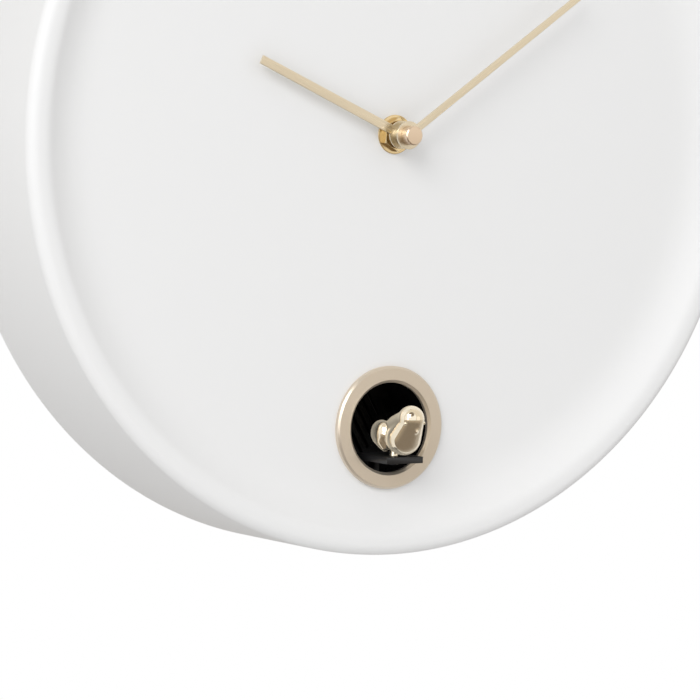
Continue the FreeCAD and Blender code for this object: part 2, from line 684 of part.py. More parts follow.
# ---- Window, niche and bird ---------------------------------------------------------
SLOT_HALF = 1.7                          # half width of the keel's slot in the niche floor
SOUND_SLOTS = 9                          # in the back wall, in front of the loudspeaker
SOUND_SLOT_PITCH = 3.2
SOUND_SLOT_WIDE = 1.3
SOUND_SLOT_CIRCLE = 14.0                 # the slots end on this radius
SOUND_SLOT_LEAN = 60.0
BAR_TOP_Z = WINDOW_Z - 19.2
RACK_Z = WINDOW_Z - 22.2                 # pitch line of the rack
RACK_MODULE = 0.8
BAR_Y = (-45.0, COVER_Y[0] - 1.5 - SLED_TRAVEL)
DRIVE_AXIS = (-24.5, RACK_Z - 4.8)       # y, z of the axle under the rack
IDLER_AXIS = (DRIVE_AXIS[0] - 10.5, DRIVE_AXIS[1])
MOTOR_DIRECTION = -25.0
MOTOR_AXIS = at_angle(IDLER_AXIS, MOTOR_DIRECTION, 10.5)
CHEEKS = ((-6.0, -4.0), (11.0, 12.5))    # x of the two plates that carry the axles
AXLE_R = 1.0
BIRD_FOOT_Y = SLED_FRONT_Y + 7.5
MOTOR_R = 6.0
MOTOR_X = (12.5, 28.0)


def bezel_ring():
    """The flat ring on the dial: its outer front edge is chamfered, its inner one round."""
    front = ahead(BEZEL_PROUD)
    return turned([(WINDOW_R, front, BEZEL_EDGE), (BEZEL_R - BEZEL_EDGE, front, 0),
                   (BEZEL_R, front + BEZEL_EDGE, 0), (BEZEL_R, DIAL_Y, 0), (WINDOW_R, DIAL_Y, 0)],
                  z=WINDOW_Z)


def niche_tube():
    """The black tube behind the window: a mouth that lines the hole in the dial, a back wall
    with sound slots, a socket for the loudspeaker, screw ears, a slotted floor that guides
    the rack, and the two cheeks that carry the axles and the motor."""
    back_y = NICHE_BACK_Y + NICHE_WALL
    outer_r = WINDOW_R + NICHE_WALL
    body = rod(0, WINDOW_Z, DIAL_BACK_Y, back_y, outer_r)
    additions = [rod(0, WINDOW_Z, back_y - 1.0, back_y + 1.3, outer_r + 0.5),
                 rod(0, WINDOW_Z, DIAL_Y, DIAL_BACK_Y, WINDOW_HOLE_R - BORE_GAP)]
    for x, z in NICHE_EARS:
        ear = rod(x, z, NICHE_BOSS_Y, NICHE_BOSS_Y + 2.0, LUG_R)
        centre_x, centre_z = x * 0.8, WINDOW_Z + (z - WINDOW_Z) * 0.8
        half_x = LUG_R + (abs(x) * 0.2)
        half_z = LUG_R + (abs(z - WINDOW_Z) * 0.2)
        bridge = block(centre_x - half_x, centre_x + half_x, NICHE_BOSS_Y, NICHE_BOSS_Y + 2.0,
                       centre_z - half_z, centre_z + half_z)
        additions += [ear, bridge.cut(rod(x * 1.2, WINDOW_Z + (z - WINDOW_Z) * 1.2, NICHE_BOSS_Y,
                                          NICHE_BOSS_Y + 2.0, 1.0))]
    additions.append(block(-5.0, 5.0, DIAL_BACK_Y + 0.4, back_y, BAR_TOP_Z + 0.1, WINDOW_Z - 15))
    for side in (-1, 1):
        x0, x1 = sorted((side * 2.7, side * 3.7))
        additions.append(block(x0, x1, -44.0, -31.5, BAR_TOP_Z - 2.6, BAR_TOP_Z + 0.2))
    for x0, x1 in CHEEKS:
        additions.append(block(x0, x1, -38.5, -21.7, WINDOW_Z - 33.5, WINDOW_Z - 12.0))
    collar_x = (MOTOR_X[0], MOTOR_X[0] + 5.5)
    additions.append(cross_rod(*collar_x, *MOTOR_AXIS, MOTOR_R + 1.4))
    body = fused(body, *additions)
    body = body.cut(rod(0, WINDOW_Z, DIAL_Y, NICHE_BACK_Y, WINDOW_R))
    body = body.cut(rod(0, WINDOW_Z, back_y, back_y + 1.3, SPEAKER_R + BORE_GAP))
    body = body.cut(cross_rod(*collar_x, *MOTOR_AXIS, MOTOR_R))
    body = body.cut(block(-SLOT_HALF, SLOT_HALF, DIAL_BACK_Y, NICHE_BACK_Y - 0.5,
                          BAR_TOP_Z - 1, WINDOW_Z - 10))
    for x, z in NICHE_EARS:
        body = body.cut(rod(x, z, NICHE_BOSS_Y, NICHE_BOSS_Y + 2.0, 1.0))
    for axis in (DRIVE_AXIS, IDLER_AXIS):
        body = body.cut(cross_rod(CHEEKS[0][0], CHEEKS[1][1], *axis, AXLE_R))
    body = body.cut(cross_rod(CHEEKS[1][0], CHEEKS[1][1], *MOTOR_AXIS, 2.2))
    for step in range(SOUND_SLOTS):
        offset = SOUND_SLOT_PITCH * (step - (SOUND_SLOTS - 1) / 2)
        half = math.sqrt(SOUND_SLOT_CIRCLE ** 2 - offset ** 2)
        z = WINDOW_Z + offset
        slot = rounded_block(-half, half, NICHE_BACK_Y, back_y, z - SOUND_SLOT_WIDE / 2,
                             z + SOUND_SLOT_WIDE / 2, 0.4 * SOUND_SLOT_WIDE)
        slot.rotate(Vector(0, 0, WINDOW_Z), Vector(0, 1, 0), SOUND_SLOT_LEAN)
        body = body.cut(slot)
    return body


def sled():
    """The platform under the bird, its keel through the niche's floor, and the rack."""
    rear_y = SLED_FRONT_Y + SLED_LENGTH
    platform = block(-SLED_WIDTH / 2, SLED_WIDTH / 2, SLED_FRONT_Y, rear_y,
                     SLED_TOP_Z - SLED_THICK, SLED_TOP_Z)
    keel = block(-KEEL_THICK / 2, KEEL_THICK / 2, rear_y - KEEL_LENGTH, rear_y,
                 BAR_TOP_Z - 1, SLED_TOP_Z - SLED_THICK)
    root_z = RACK_Z + DEDENDUM * RACK_MODULE
    bar = block(-2.5, 2.5, *BAR_Y, root_z, BAR_TOP_Z)
    half, tip = HALF_TOOTH * RACK_MODULE, HALF_TIP * RACK_MODULE
    tip_z = RACK_Z - ADDENDUM * RACK_MODULE
    pitch = math.pi * RACK_MODULE
    teeth = []
    for step in range(-8, 1):
        y = DRIVE_AXIS[0] + step * pitch
        outline = [Vector(-2.5, y - half, root_z), Vector(-2.5, y - half, RACK_Z),
                   Vector(-2.5, y - tip, tip_z), Vector(-2.5, y + tip, tip_z),
                   Vector(-2.5, y + half, RACK_Z), Vector(-2.5, y + half, root_z)]
        teeth.append(Part.Face(Part.makePolygon(outline + outline[:1])).extrude(Vector(5, 0, 0)))
    flag = block(-3.8, -2.4, BAR_Y[1] - 1.0, BAR_Y[1], SENSOR_Z - 0.5, SENSOR_Z + 0.5)
    body = fused(platform, keel, bar, flag, *teeth)
    return body.cut(rod_z(0, BIRD_FOOT_Y, SLED_TOP_Z - SLED_THICK, SLED_TOP_Z, 0.8))


def bird():
    """A small perched bird that faces the front: body, head, beak, tail, wings and foot."""
    mid_z = WINDOW_Z - 1.2
    body = spindle(Vector(0, SLED_FRONT_Y + 19.0, mid_z - 0.5),
                   Vector(0, SLED_FRONT_Y - 1.0, mid_z + 1.5), 6.6)
    head = Part.makeSphere(4.3, Vector(0, SLED_FRONT_Y - 0.8, mid_z + 5.6))
    neck = Part.makeCone(5.6, 3.6, 6.0, Vector(0, SLED_FRONT_Y + 4.2, mid_z + 1.0), Vector(0, -0.7, 0.7))
    beak = Part.makeCone(1.6, 0.2, 4.0, Vector(0, SLED_FRONT_Y - 4.2, mid_z + 5.0), Vector(0, -1, -0.35))
    wings = [spindle(Vector(side * 3.6, SLED_FRONT_Y + 15.0, mid_z + 0.5),
                     Vector(side * 4.6, SLED_FRONT_Y + 3.0, mid_z + 1.0), 3.6) for side in (-1, 1)]
    foot = rod_z(0, BIRD_FOOT_Y, SLED_TOP_Z, mid_z, 1.4)
    return fused(body, head, neck, beak, foot, *wings).cut(
        rod_z(0, BIRD_FOOT_Y, SLED_TOP_Z, SLED_TOP_Z + 3.0, 0.8))


def spindle(start, end, radius):
    """A solid that is pointed at both ends: an arc between them, turned about their line."""
    middle = (start + end) / 2
    side = (end - start).cross(Vector(0.1, 0.2, 1)).normalize() * radius
    arc = Part.Arc(start, middle + side, end).toShape()
    line = Part.LineSegment(end, start).toShape()
    body = Part.Face(Part.Wire([arc, line])).revolve(start, end - start, 360)
    if body.Volume < 0:
        body.reverse()
    return body


def bird_screw():
    z = SLED_TOP_Z - SLED_THICK
    return fused(rod_z(0, BIRD_FOOT_Y, z - 1.0, z, 1.6), rod_z(0, BIRD_FOOT_Y, z, SLED_TOP_Z + 3.0, 0.8))


DRIVE_PHASE = 90 - 180 / 12              # a gap under the rack tooth above the axle
IDLER_PHASE = meshed(0.0, 32, 10, 180)
MOTOR_PHASE = meshed(0.0, 32, 10, MOTOR_DIRECTION)


def drive_gear():
    """The rack's pinion and the large reduction wheel beside it."""
    pinion = gear(12, RACK_MODULE, DRIVE_AXIS, -2.5, 2.5, DRIVE_PHASE, "X")
    collar = cross_rod(2.5, 5.0, *DRIVE_AXIS, 2.6)
    wheel = gear(32, 0.5, DRIVE_AXIS, 5.0, 7.0, 0.0, "X")
    body = fused(pinion, collar, wheel)
    return body.cut(cross_rod(-2.5, 7.0, *DRIVE_AXIS, AXLE_R + BORE_GAP))


def idler_gear():
    pinion = gear(10, 0.5, IDLER_AXIS, 4.9, 8.0, IDLER_PHASE, "X")
    wheel = gear(32, 0.5, IDLER_AXIS, 8.0, 10.0, 0.0, "X")
    return fused(pinion, wheel).cut(cross_rod(4.9, 10.0, *IDLER_AXIS, AXLE_R + BORE_GAP))


def motor_armature():
    """The motor's shaft with its wound core and the pinion on its end."""
    pinion = gear(10, 0.5, MOTOR_AXIS, 7.8, 10.2, MOTOR_PHASE, "X")
    shaft = cross_rod(7.8, MOTOR_X[1] + 1.2, *MOTOR_AXIS, 0.75)
    core = cross_rod(15.0, 25.0, *MOTOR_AXIS, 4.0)
    commutator = cross_rod(25.0, 27.5, *MOTOR_AXIS, 1.6)
    return fused(pinion, shaft, core, commutator)


def motor_can():
    x0, x1 = MOTOR_X
    body = cross_rod(x0, x1, *MOTOR_AXIS, MOTOR_R)
    nose = cross_rod(CHEEKS[1][0], x0, *MOTOR_AXIS, 2.2)
    body = body.fuse(nose).cut(cross_rod(x0 + 0.8, x1, *MOTOR_AXIS, MOTOR_R - 0.8))
    return body.cut(cross_rod(CHEEKS[1][0], x0 + 1, *MOTOR_AXIS, 0.75 + BORE_GAP))


def motor_end_cap():
    x0 = MOTOR_X[1]
    body = fused(cross_rod(x0, x0 + 2.0, *MOTOR_AXIS, MOTOR_R),
                 block(x0 + 2.0, x0 + 4.0, MOTOR_AXIS[0] - 2, MOTOR_AXIS[0] + 2,
                       MOTOR_AXIS[1] - 3, MOTOR_AXIS[1] + 3))
    return body.cut(cross_rod(x0, x0 + 1.4, *MOTOR_AXIS, 0.75 + BORE_GAP))


def gear_axles():
    return Part.makeCompound([cross_rod(CHEEKS[0][0], CHEEKS[1][1], *axis, AXLE_R)
                              for axis in (DRIVE_AXIS, IDLER_AXIS)])


def sled_sensor():
    """A slotted light gate that the rack's flag enters when the bird is in."""
    body = block(-7.4, -2.8, -9.0, COVER_Y[0], SENSOR_Z - 3.0, SENSOR_Z + 3.0)
    return body.cut(block(-4.8, -2.8, -9.0, -3.9, SENSOR_Z - 1.0, SENSOR_Z + 1.0))


# ---- Loudspeaker ------------------------------------------------------------------
SPEAKER_Y = NICHE_BACK_Y + NICHE_WALL
SPEAKER_R = 18.0


def speaker_frame():
    y = SPEAKER_Y
    return turned([(15.0, y + 0.5, 0), (SPEAKER_R, y + 0.5, 0), (SPEAKER_R, y + 1.3, 0),
                   (16.2, y + 1.3, 0), (9.8, y + 7.0, 0), (5.2, y + 7.0, 0), (5.2, y + 6.2, 0),
                   (9.2, y + 6.2, 0), (15.0, y + 1.3, 0)], z=WINDOW_Z)


def speaker_magnet():
    y = SPEAKER_Y + 7.0
    body = turned([(0, y, 0), (9.5, y, 0), (9.5, y + 6.0, 0.4), (0, y + 6.0, 0)], z=WINDOW_Z)
    return body.cut(ring(0, WINDOW_Z, y, y + 4.0, 5.4, 4.3))


def speaker_cone():
    """Rim, paper cone, dust cap and coil former."""
    y = SPEAKER_Y
    return turned([(SPEAKER_R, y, 0), (SPEAKER_R, y + 0.5, 0), (14.6, y + 0.5, 0), (5.1, y + 5.0, 0),
                   (5.1, y + 9.0, 0), (4.7, y + 9.0, 0), (4.7, y + 3.8, 0), (0, y + 2.6, 0),
                   (0, y + 2.1, 0), (4.9, y + 3.4, 0), (14.2, y, 0)], z=WINDOW_Z)


# ---- Small screws and wires ---------------------------------------------------------
def inner_screws():
    """Identical screws that hold the niche, the main board and the battery box."""
    screws = [pan_screw(x, z, NICHE_BOSS_Y + 2.0, -1) for x, z in NICHE_EARS]
    screws += [pan_screw(x, z, BOARD_Y[0], 1) for x, z in BOARD_SCREWS]
    screws += [pan_screw(x, z, COVER_Y[0] - BOX_WALL, 1) for x, z in BOX_SCREWS]
    return Part.makeCompound(screws)


WIRE_R = 0.8
PLUG_X = BOARD[1] - 1.0                  # face of the connectors on the main board


def movement_wire():
    x = -MOVEMENT_HALF
    return wire([(x, -32.0, 16.0), (x - 11.5, -32.0, 16.0), (x - 11.5, WIRE_Y, CONNECTOR_Z[3]),
                 (PLUG_X, WIRE_Y, CONNECTOR_Z[3])], WIRE_R)


def battery_wire():
    x = BOX_AT[0] - BOX_HALF[0] - BOX_WALL
    return wire([(x, -12.0, -18.0), (x - 9, -12.0, -18.0), (x - 15, -12.5, -32.0),
                 (8.0, -13.0, -48.0), (-16.0, -13.6, -42.0), (-32.0, WIRE_Y, -18.0),
                 (-40.0, WIRE_Y, CONNECTOR_Z[2]), (PLUG_X, WIRE_Y, CONNECTOR_Z[2])], WIRE_R)


def motor_wire():
    x = MOTOR_X[1] + 4.0
    y, z = MOTOR_AXIS
    return wire([(x, y, z), (x + 12, y, z), (x + 15, y + 7, z + 22), (28.0, -13.0, -84.0),
                 (4.0, -12.0, -64.0), (-22.0, -13.0, -54.0), (-36.0, WIRE_Y, -34.0),
                 (-39.0, WIRE_Y, CONNECTOR_Z[1]), (PLUG_X, WIRE_Y, CONNECTOR_Z[1])], WIRE_R)


def speaker_wire():
    x = -9.5
    return wire([(x, -8.0, WINDOW_Z), (x - 14, -8.0, WINDOW_Z), (x - 30, -9.0, WINDOW_Z + 16),
                 (x - 36, -12.0, -62.0), (-38.0, WIRE_Y, -40.0), (-40.0, WIRE_Y, CONNECTOR_Z[0]),
                 (PLUG_X, WIRE_Y, CONNECTOR_Z[0])], WIRE_R)


# ---- Export -----------------------------------------------------------------------
NODES = [
    case_shell, back_cover, cover_screws, hanger_plate, hanger_screws, wall_bumpers,
    bezel_ring, niche_tube, sled, bird, bird_screw, drive_gear, idler_gear, gear_axles,
    motor_armature, motor_can, motor_end_cap, sled_sensor,
    movement_front, movement_back, threaded_bushing, rubber_washer, dial_washer, hex_nut,
    hour_hand, minute_hand, cap_nut, hour_wheel, centre_wheel, minute_wheel, third_wheel,
    seconds_wheel, fifth_wheel, rotor, stator, coil, movement_board, movement_chip,
    quartz_crystal, setting_knob,
    speaker_frame, speaker_magnet, speaker_cone,
    main_board, board_chips, board_capacitors, wire_connectors, switch_body, switch_slider,
    volume_body, volume_knob, battery_box, batteries, battery_contacts, battery_door,
    inner_screws, movement_wire, battery_wire, motor_wire, speaker_wire]

os.makedirs("parts", exist_ok=True)
for make in NODES:
    shape = make()
    shape.exportStep("parts/" + make.__name__ + ".step")
    print(make.__name__, "solids", len(shape.Solids), "valid", shape.isValid(),
          "volume", round(shape.Volume, 1))
print(len(NODES), "nodes")
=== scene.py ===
# %% [markdown]
# # A wall clock with a bird in a window
# This lesson finishes a round white wall clock.  The engineering model gives every part its
# place and size.  Here the parts that show get a finer mesh and a real material, and the
# object is lit and framed like a product picture.

# %% Load the engineering model
import math

import bmesh
import bpy
from mathutils import Matrix, Vector


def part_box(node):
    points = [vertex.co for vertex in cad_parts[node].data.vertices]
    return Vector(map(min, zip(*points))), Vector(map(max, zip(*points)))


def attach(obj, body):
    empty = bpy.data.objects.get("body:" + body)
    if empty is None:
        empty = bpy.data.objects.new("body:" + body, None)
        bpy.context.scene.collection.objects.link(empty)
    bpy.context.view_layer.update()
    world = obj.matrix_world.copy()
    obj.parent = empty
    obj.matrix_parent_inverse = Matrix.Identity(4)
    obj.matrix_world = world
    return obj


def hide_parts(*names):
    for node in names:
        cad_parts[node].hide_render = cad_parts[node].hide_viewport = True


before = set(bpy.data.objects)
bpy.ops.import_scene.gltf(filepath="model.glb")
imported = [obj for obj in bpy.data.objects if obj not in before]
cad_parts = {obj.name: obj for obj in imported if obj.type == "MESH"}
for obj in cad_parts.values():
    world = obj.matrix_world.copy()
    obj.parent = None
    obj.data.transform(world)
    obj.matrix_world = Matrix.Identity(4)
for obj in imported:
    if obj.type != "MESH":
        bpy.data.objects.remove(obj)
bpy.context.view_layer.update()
MM = 0.001

# %% [markdown]
# ## Measures that the parts share
# Sizes are in millimetres, and are turned to metres only when a mesh is made.  Places come
# from the boxes of the engineering parts: the hands turn on the Y axis, the wall is at
# Y = 0, and the front of the clock looks along -Y.

# %% Places taken from the model


def box_mm(node):
    """Lowest and highest corner of an engineering part, in millimetres."""
    low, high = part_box(node)
    return low / MM, high / MM


case_low, case_high = box_mm("case_shell")
CASE_R = case_high.z
LIP_Y = case_low.y
DIAL_Y = box_mm("dial_washer")[1].y
bezel_low, bezel_high = box_mm("bezel_ring")
WINDOW_Z = (bezel_low.z + bezel_high.z) / 2
print("case radius", round(CASE_R, 2), "dial at", round(DIAL_Y, 2), "window at", round(WINDOW_Z, 2))

# %% [markdown]
# ## Camera
# The picture is taken from the clock's left, nearly level, with a long lens.  The camera
# stands on a ray from the middle of the lip, and looks a little to one side of it: yaw and
# pitch turn it off the ray, and roll leans it.

# %% Camera
SENSOR = 36.0
camera_data = bpy.data.cameras.new("camera")
camera_data.sensor_width = SENSOR
camera_data.lens = 240.33
camera = bpy.data.objects.new("camera", camera_data)
bpy.context.scene.collection.objects.link(camera)
bpy.context.scene.camera = camera

CAMERA_RANGE = 1658.37                  # camera to the middle of the lip, in millimetres
azimuth, elevation = math.radians(-32.716), math.radians(1.375)
yaw, pitch, roll = math.radians(-0.596), math.radians(-2.649), math.radians(1.346)
back = Vector((math.sin(azimuth) * math.cos(elevation),
               -math.cos(azimuth) * math.cos(elevation), math.sin(elevation)))
aim = (-back).to_track_quat("-Z", "Y").to_matrix()
aim = aim @ Matrix.Rotation(-yaw, 3, "Y") @ Matrix.Rotation(pitch, 3, "X") @ Matrix.Rotation(roll, 3, "Z")
camera.matrix_world = Matrix.Translation((Vector((0, LIP_Y, 0)) + back * CAMERA_RANGE) * MM) @ aim.to_4x4()
camera_data.clip_start = 0.1
camera_data.clip_end = 20.0
print("camera at", [round(c, 3) for c in camera.matrix_world.translation])

# %% [markdown]
# ## Colours and nodes
# Colours are written as sRGB hex values, and shaders count in linear light, so one function
# turns the first into the second.  Another adds a node with its settings and links.  A third
# blends two colours over a range of some value, which is enough to paint a whole room.

# %% Colour and node helpers
COLOUR_A, COLOUR_B, COLOUR_OUT = 6, 7, 2      # the Mix node's colour sockets


def linear(hex_colour):
    """An sRGB hex value as linear RGBA."""
    channels = [int(hex_colour[place:place + 2], 16) / 255 for place in (1, 3, 5)]
    return [c / 12.92 if c <= 0.04045 else ((c + 0.055) / 1.055) ** 2.4 for c in channels] + [1.0]


def add(tree, kind, inputs=None, **settings):
    """Adds a node.  Each input is a plain value, or a socket to link from."""
    node = tree.nodes.new(kind)
    for name, value in settings.items():
        setattr(node, name, value)
    for key, value in (inputs or {}).items():
        if isinstance(value, bpy.types.NodeSocket):
            tree.links.new(value, node.inputs[key])
        else:
            node.inputs[key].default_value = value
    return node


def blend(tree, value, low, high, first, second):
    """The first colour where a value is under low, and the second where it is over high."""
    share = add(tree, "ShaderNodeMapRange", {"Value": value, "From Min": low, "From Max": high})
    mix = add(tree, "ShaderNodeMix", {
        0: share.outputs["Result"], COLOUR_A: first, COLOUR_B: second}, data_type="RGBA")
    return mix.outputs[COLOUR_OUT]


print("middle grey in linear light:", round(linear("#808080")[0], 3))

# %% [markdown]
# ## World
# The clock hangs in a white studio.  Dull surfaces are lit by a neutral grey that gets darker
# towards the back.  The metal parts reflect a real room instead: cream walls above brown
# ground, with a large white screen on the left and a small dark patch above it.

# %% Room and daylight
world = bpy.data.worlds.new("white_studio")
bpy.context.scene.world = world
bpy.context.scene.view_settings.view_transform = "Standard"
world.use_nodes = True
tree = world.node_tree
tree.nodes.clear()
outward = add(tree, "ShaderNodeTexCoord").outputs["Generated"]
along = add(tree, "ShaderNodeSeparateXYZ", {"Vector": outward}).outputs


def closeness(direction):
    """1 where a ray runs along a direction, and less the more it turns away: a cosine."""
    return add(tree, "ShaderNodeVectorMath", {0: outward, 1: Vector(direction).normalized()},
               operation="DOT_PRODUCT").outputs["Value"]


# The screen and the patch each fade in between two closenesses.
room = blend(tree, closeness((-0.6, -0.8, 0.2)), 0.6, 0.66, linear("#E2DBD0"), linear("#FFFFFF"))
room = blend(tree, closeness((-0.3, -0.6, 0.7)), 0.92, 0.95, room, linear("#7D7367"))
# The ground fades from dark to light brown, and meets the walls just below the horizon.
ground = blend(tree, along["Z"], -0.5, -0.1, linear("#7C7165"), linear("#B9AC9B"))
room = blend(tree, along["Z"], -0.12, -0.07, ground, room)
# Daylight comes from the front, where Y is negative.
daylight = blend(tree, along["Y"], -0.1, 0.4, linear("#DCDCDC"), linear("#BEBEBD"))
print("nodes in the room", len(tree.nodes))

# %% [markdown]
# The world can tell what kind of ray asks for its colour.  Reflected rays get the room, dull
# surfaces get the daylight, and the camera sees plain white behind the clock.

# %% What each kind of ray sees
ray = add(tree, "ShaderNodeLightPath").outputs
lit = blend(tree, ray["Is Glossy Ray"], 0.0, 1.0, daylight, room)
seen = blend(tree, ray["Is Camera Ray"], 0.0, 1.0, lit, linear("#FFFFFF"))
background = add(tree, "ShaderNodeBackground", {"Color": seen, "Strength": 1.0})
add(tree, "ShaderNodeOutputWorld", {"Surface": background.outputs["Background"]})
print("world nodes", len(tree.nodes))

# %% [markdown]
# ## Lights
# An area light is a glowing square that shines along its own -Z.  A large one stands high on
# the left.  A small one below it draws thin bright edges on the metal, and a weak one fills
# from the right.  All are aimed at a point a little below the hub.  A wide round floor lies
# below the clock.

# %% Lights and floor
AIM = Vector((0, LIP_Y * MM, -0.04))    # between the hub and the window


def soft_box(name, place, size, watts):
    """A square white area light at a place in metres, aimed at the clock."""
    light = bpy.data.lights.new(name, "AREA")
    light.size = size
    light.energy = watts
    box = bpy.data.objects.new(name, light)
    box.location = place
    box.rotation_euler = (AIM - Vector(place)).to_track_quat("-Z", "Y").to_euler()
    bpy.context.scene.collection.objects.link(box)


soft_box("key_left", (-1.5, -1.3, 1.1), size=1.1, watts=20.0)
soft_box("edge_left", (-1.75, -1.1, 0.0), size=0.5, watts=2.0)
soft_box("fill_right", (1.3, -1.9, 0.2), size=1.2, watts=1.2)

FLOOR_Z, FLOOR_R = -0.6, 1.7            # in metres
bm = bmesh.new()
bmesh.ops.create_circle(bm, cap_ends=True, segments=96, radius=FLOOR_R,
                        matrix=Matrix.Translation((0, 0, FLOOR_Z)))
floor_mesh = bpy.data.meshes.new("floor")
bm.to_mesh(floor_mesh)
bm.free()
floor = bpy.data.objects.new("floor", floor_mesh)
bpy.context.scene.collection.objects.link(floor)
floor.visible_glossy = False            # the metal parts reflect the room, not the floor
print("lights", len(bpy.data.lights), "floor at", FLOOR_Z)

# %% [markdown]
# ## Materials
# Each material starts from one Principled shader.  What is the same all over goes straight
# on the shader's sockets.  Small variations come from patterns on Object coordinates, whose
# scale is worked out from a size in millimetres.

# %% Starting a material


def start_material(name, colour, **sockets):
    """A material with one Principled shader.  Returns the material, its tree and the shader."""
    material = bpy.data.materials.new(name)
    material.use_nodes = True
    tree = material.node_tree
    tree.nodes.clear()
    inputs = {"Base Color": linear(colour)}
    inputs.update({key.replace("_", " "): value for key, value in sockets.items()})
    shader = add(tree, "ShaderNodeBsdfPrincipled", inputs)
    add(tree, "ShaderNodeOutputMaterial", {"Surface": shader.outputs["BSDF"]})
    return material, tree, shader


def per_metre(size_mm):
    """The texture scale that makes one feature of a pattern this many millimetres wide."""
    return 1.0 / (size_mm * MM)


def grain(tree, size_mm, stretch=(1, 1, 1), turn=(0, 0, 0), detail=2.0):
    """Fine noise on Object coordinates, turned and then stretched.  Returns its socket."""
    place = add(tree, "ShaderNodeTexCoord").outputs["Object"]
    turned = add(tree, "ShaderNodeMapping", {"Vector": place, "Rotation": turn}, vector_type="POINT")
    drawn = add(tree, "ShaderNodeMapping", {"Vector": turned.outputs["Vector"], "Scale": stretch})
    noise = add(tree, "ShaderNodeTexNoise", {
        "Vector": drawn.outputs["Vector"], "Scale": per_metre(size_mm), "Detail": detail})
    return noise.outputs["Fac"]


def roughen(tree, shader, factor, low, high):
    """Roughness from low to high, as a pattern goes from dark to bright."""
    spread = add(tree, "ShaderNodeMapRange", {
        "Value": factor, "From Min": 0.3, "From Max": 0.7, "To Min": low, "To Max": high})
    tree.links.new(spread.outputs["Result"], shader.inputs["Roughness"])


def emboss(tree, shader, factor, height_mm):
    """Small relief from a pattern, its height in millimetres."""
    bump = add(tree, "ShaderNodeBump", {"Height": factor, "Distance": height_mm * MM})
    tree.links.new(bump.outputs["Normal"], shader.inputs["Normal"])


ABS_IOR = 1.53
ACETAL_IOR = 1.48

# %% [markdown]
# ### White mouldings
# The case is one moulding in white ABS.  Its mould was given a fine satin, so edges catch a
# soft light and nothing mirrors.  The back cover comes from a coarser, eroded mould and is a
# little greyer.

# %% Moulded ABS
# Satin white: a soft highlight with no sharp image in it.
satin_moulded_abs, tree, shader = start_material(
    "satin_moulded_abs", "#EDEDED", Roughness=0.5, IOR=ABS_IOR)
satin_grain = grain(tree, 0.9)          # real grain 0.1 mm, drawn coarser so that it shows
roughen(tree, shader, satin_grain, 0.46, 0.54)
emboss(tree, shader, satin_grain, 0.004)

# Off-white and dull: the eroded texture scatters the light.
eroded_moulded_abs, tree, shader = start_material(
    "eroded_moulded_abs", "#E2E2DF", Roughness=0.62, IOR=ABS_IOR)
eroded_grain = grain(tree, 0.8)         # spark-eroded grain, near 0.3 mm on the real cover
roughen(tree, shader, eroded_grain, 0.55, 0.7)
emboss(tree, shader, eroded_grain, 0.03)

# Glossy black from a polished mould: dark, with thin bright reflections.
gloss_moulded_abs, tree, shader = start_material(
    "gloss_moulded_black_abs", "#0B0B0C", Roughness=0.16, IOR=ABS_IOR)
roughen(tree, shader, grain(tree, 6.0), 0.12, 0.2)

# Charcoal with a dull shine: an unpainted black moulding of the works.
plain_moulded_abs, tree, shader = start_material(
    "plain_moulded_black_abs", "#1E1F22", Roughness=0.42, IOR=ABS_IOR)
plain_grain = grain(tree, 0.5)
roughen(tree, shader, plain_grain, 0.38, 0.5)
emboss(tree, shader, plain_grain, 0.01)

# Mid grey, slightly shiny from handling: knobs and slider.
handled_abs, tree, shader = start_material("handled_grey_abs", "#3B3C3F", Roughness=0.36, IOR=ABS_IOR)
roughen(tree, shader, grain(tree, 1.5), 0.3, 0.44)
print("ABS finishes ready")

# %% [markdown]
# ### Acetal, rubber, felt and paper
# Gears and the sliding platform are acetal, which is waxy and a little translucent in white,
# and even and dull in black.

# %% Soft and waxy finishes
# Waxy white: a broad, weak highlight.
white_acetal, tree, shader = start_material(
    "moulded_white_acetal", "#E9E6DC", Roughness=0.4, IOR=ACETAL_IOR, Subsurface_Weight=0.1,
    Subsurface_Scale=0.5 * MM)
roughen(tree, shader, grain(tree, 1.0), 0.36, 0.46)

# Even charcoal with a dull, wide shine.
black_acetal, tree, shader = start_material(
    "moulded_black_acetal", "#262627", Roughness=0.42, IOR=ACETAL_IOR)
acetal_grain = grain(tree, 0.4)
roughen(tree, shader, acetal_grain, 0.38, 0.48)
emboss(tree, shader, acetal_grain, 0.006)

# Black with hardly any shine.
pressed_rubber, tree, shader = start_material("pressed_black_rubber", "#191919", Roughness=0.75, IOR=1.52)
emboss(tree, shader, grain(tree, 0.6), 0.02)

# Fuzzy off-white: short fibres give it a soft rim.
pressed_felt, tree, shader = start_material(
    "pressed_wool_felt", "#D8D7D1", Roughness=0.95, Sheen_Weight=0.4)
fibres = grain(tree, 0.35, stretch=(1, 4, 1), detail=6.0)
emboss(tree, shader, fibres, 0.12)

# Dark and dry, with a faint mottle of pulp.
paper_pulp, tree, shader = start_material("pressed_paper_pulp", "#2E2C2A", Roughness=0.85)
emboss(tree, shader, grain(tree, 0.7, detail=5.0), 0.03)
print("soft finishes ready")

# %% [markdown]
# ### Metals
# The ring and the hands are aluminium, blasted or brushed and then anodised a pale
# champagne.  The nut and washer are bright gold-plated brass.  The bird is plastic with a
# vacuum coat, so it mirrors everything round it.

# %% Metal finishes
# Pale champagne, satin: the light spreads to a soft glow, with fine grain.  The thick anodic
# film scatters a part of the light, so it isn't all metal.
blasted_aluminium, tree, shader = start_material(
    "blasted_champagne_aluminium", "#DED2C1", Metallic=0.7, Roughness=0.36)
blast_grain = grain(tree, 0.5)          # blasting beads near 0.1 mm, drawn coarser to show
roughen(tree, shader, blast_grain, 0.32, 0.42)
emboss(tree, shader, blast_grain, 0.004)


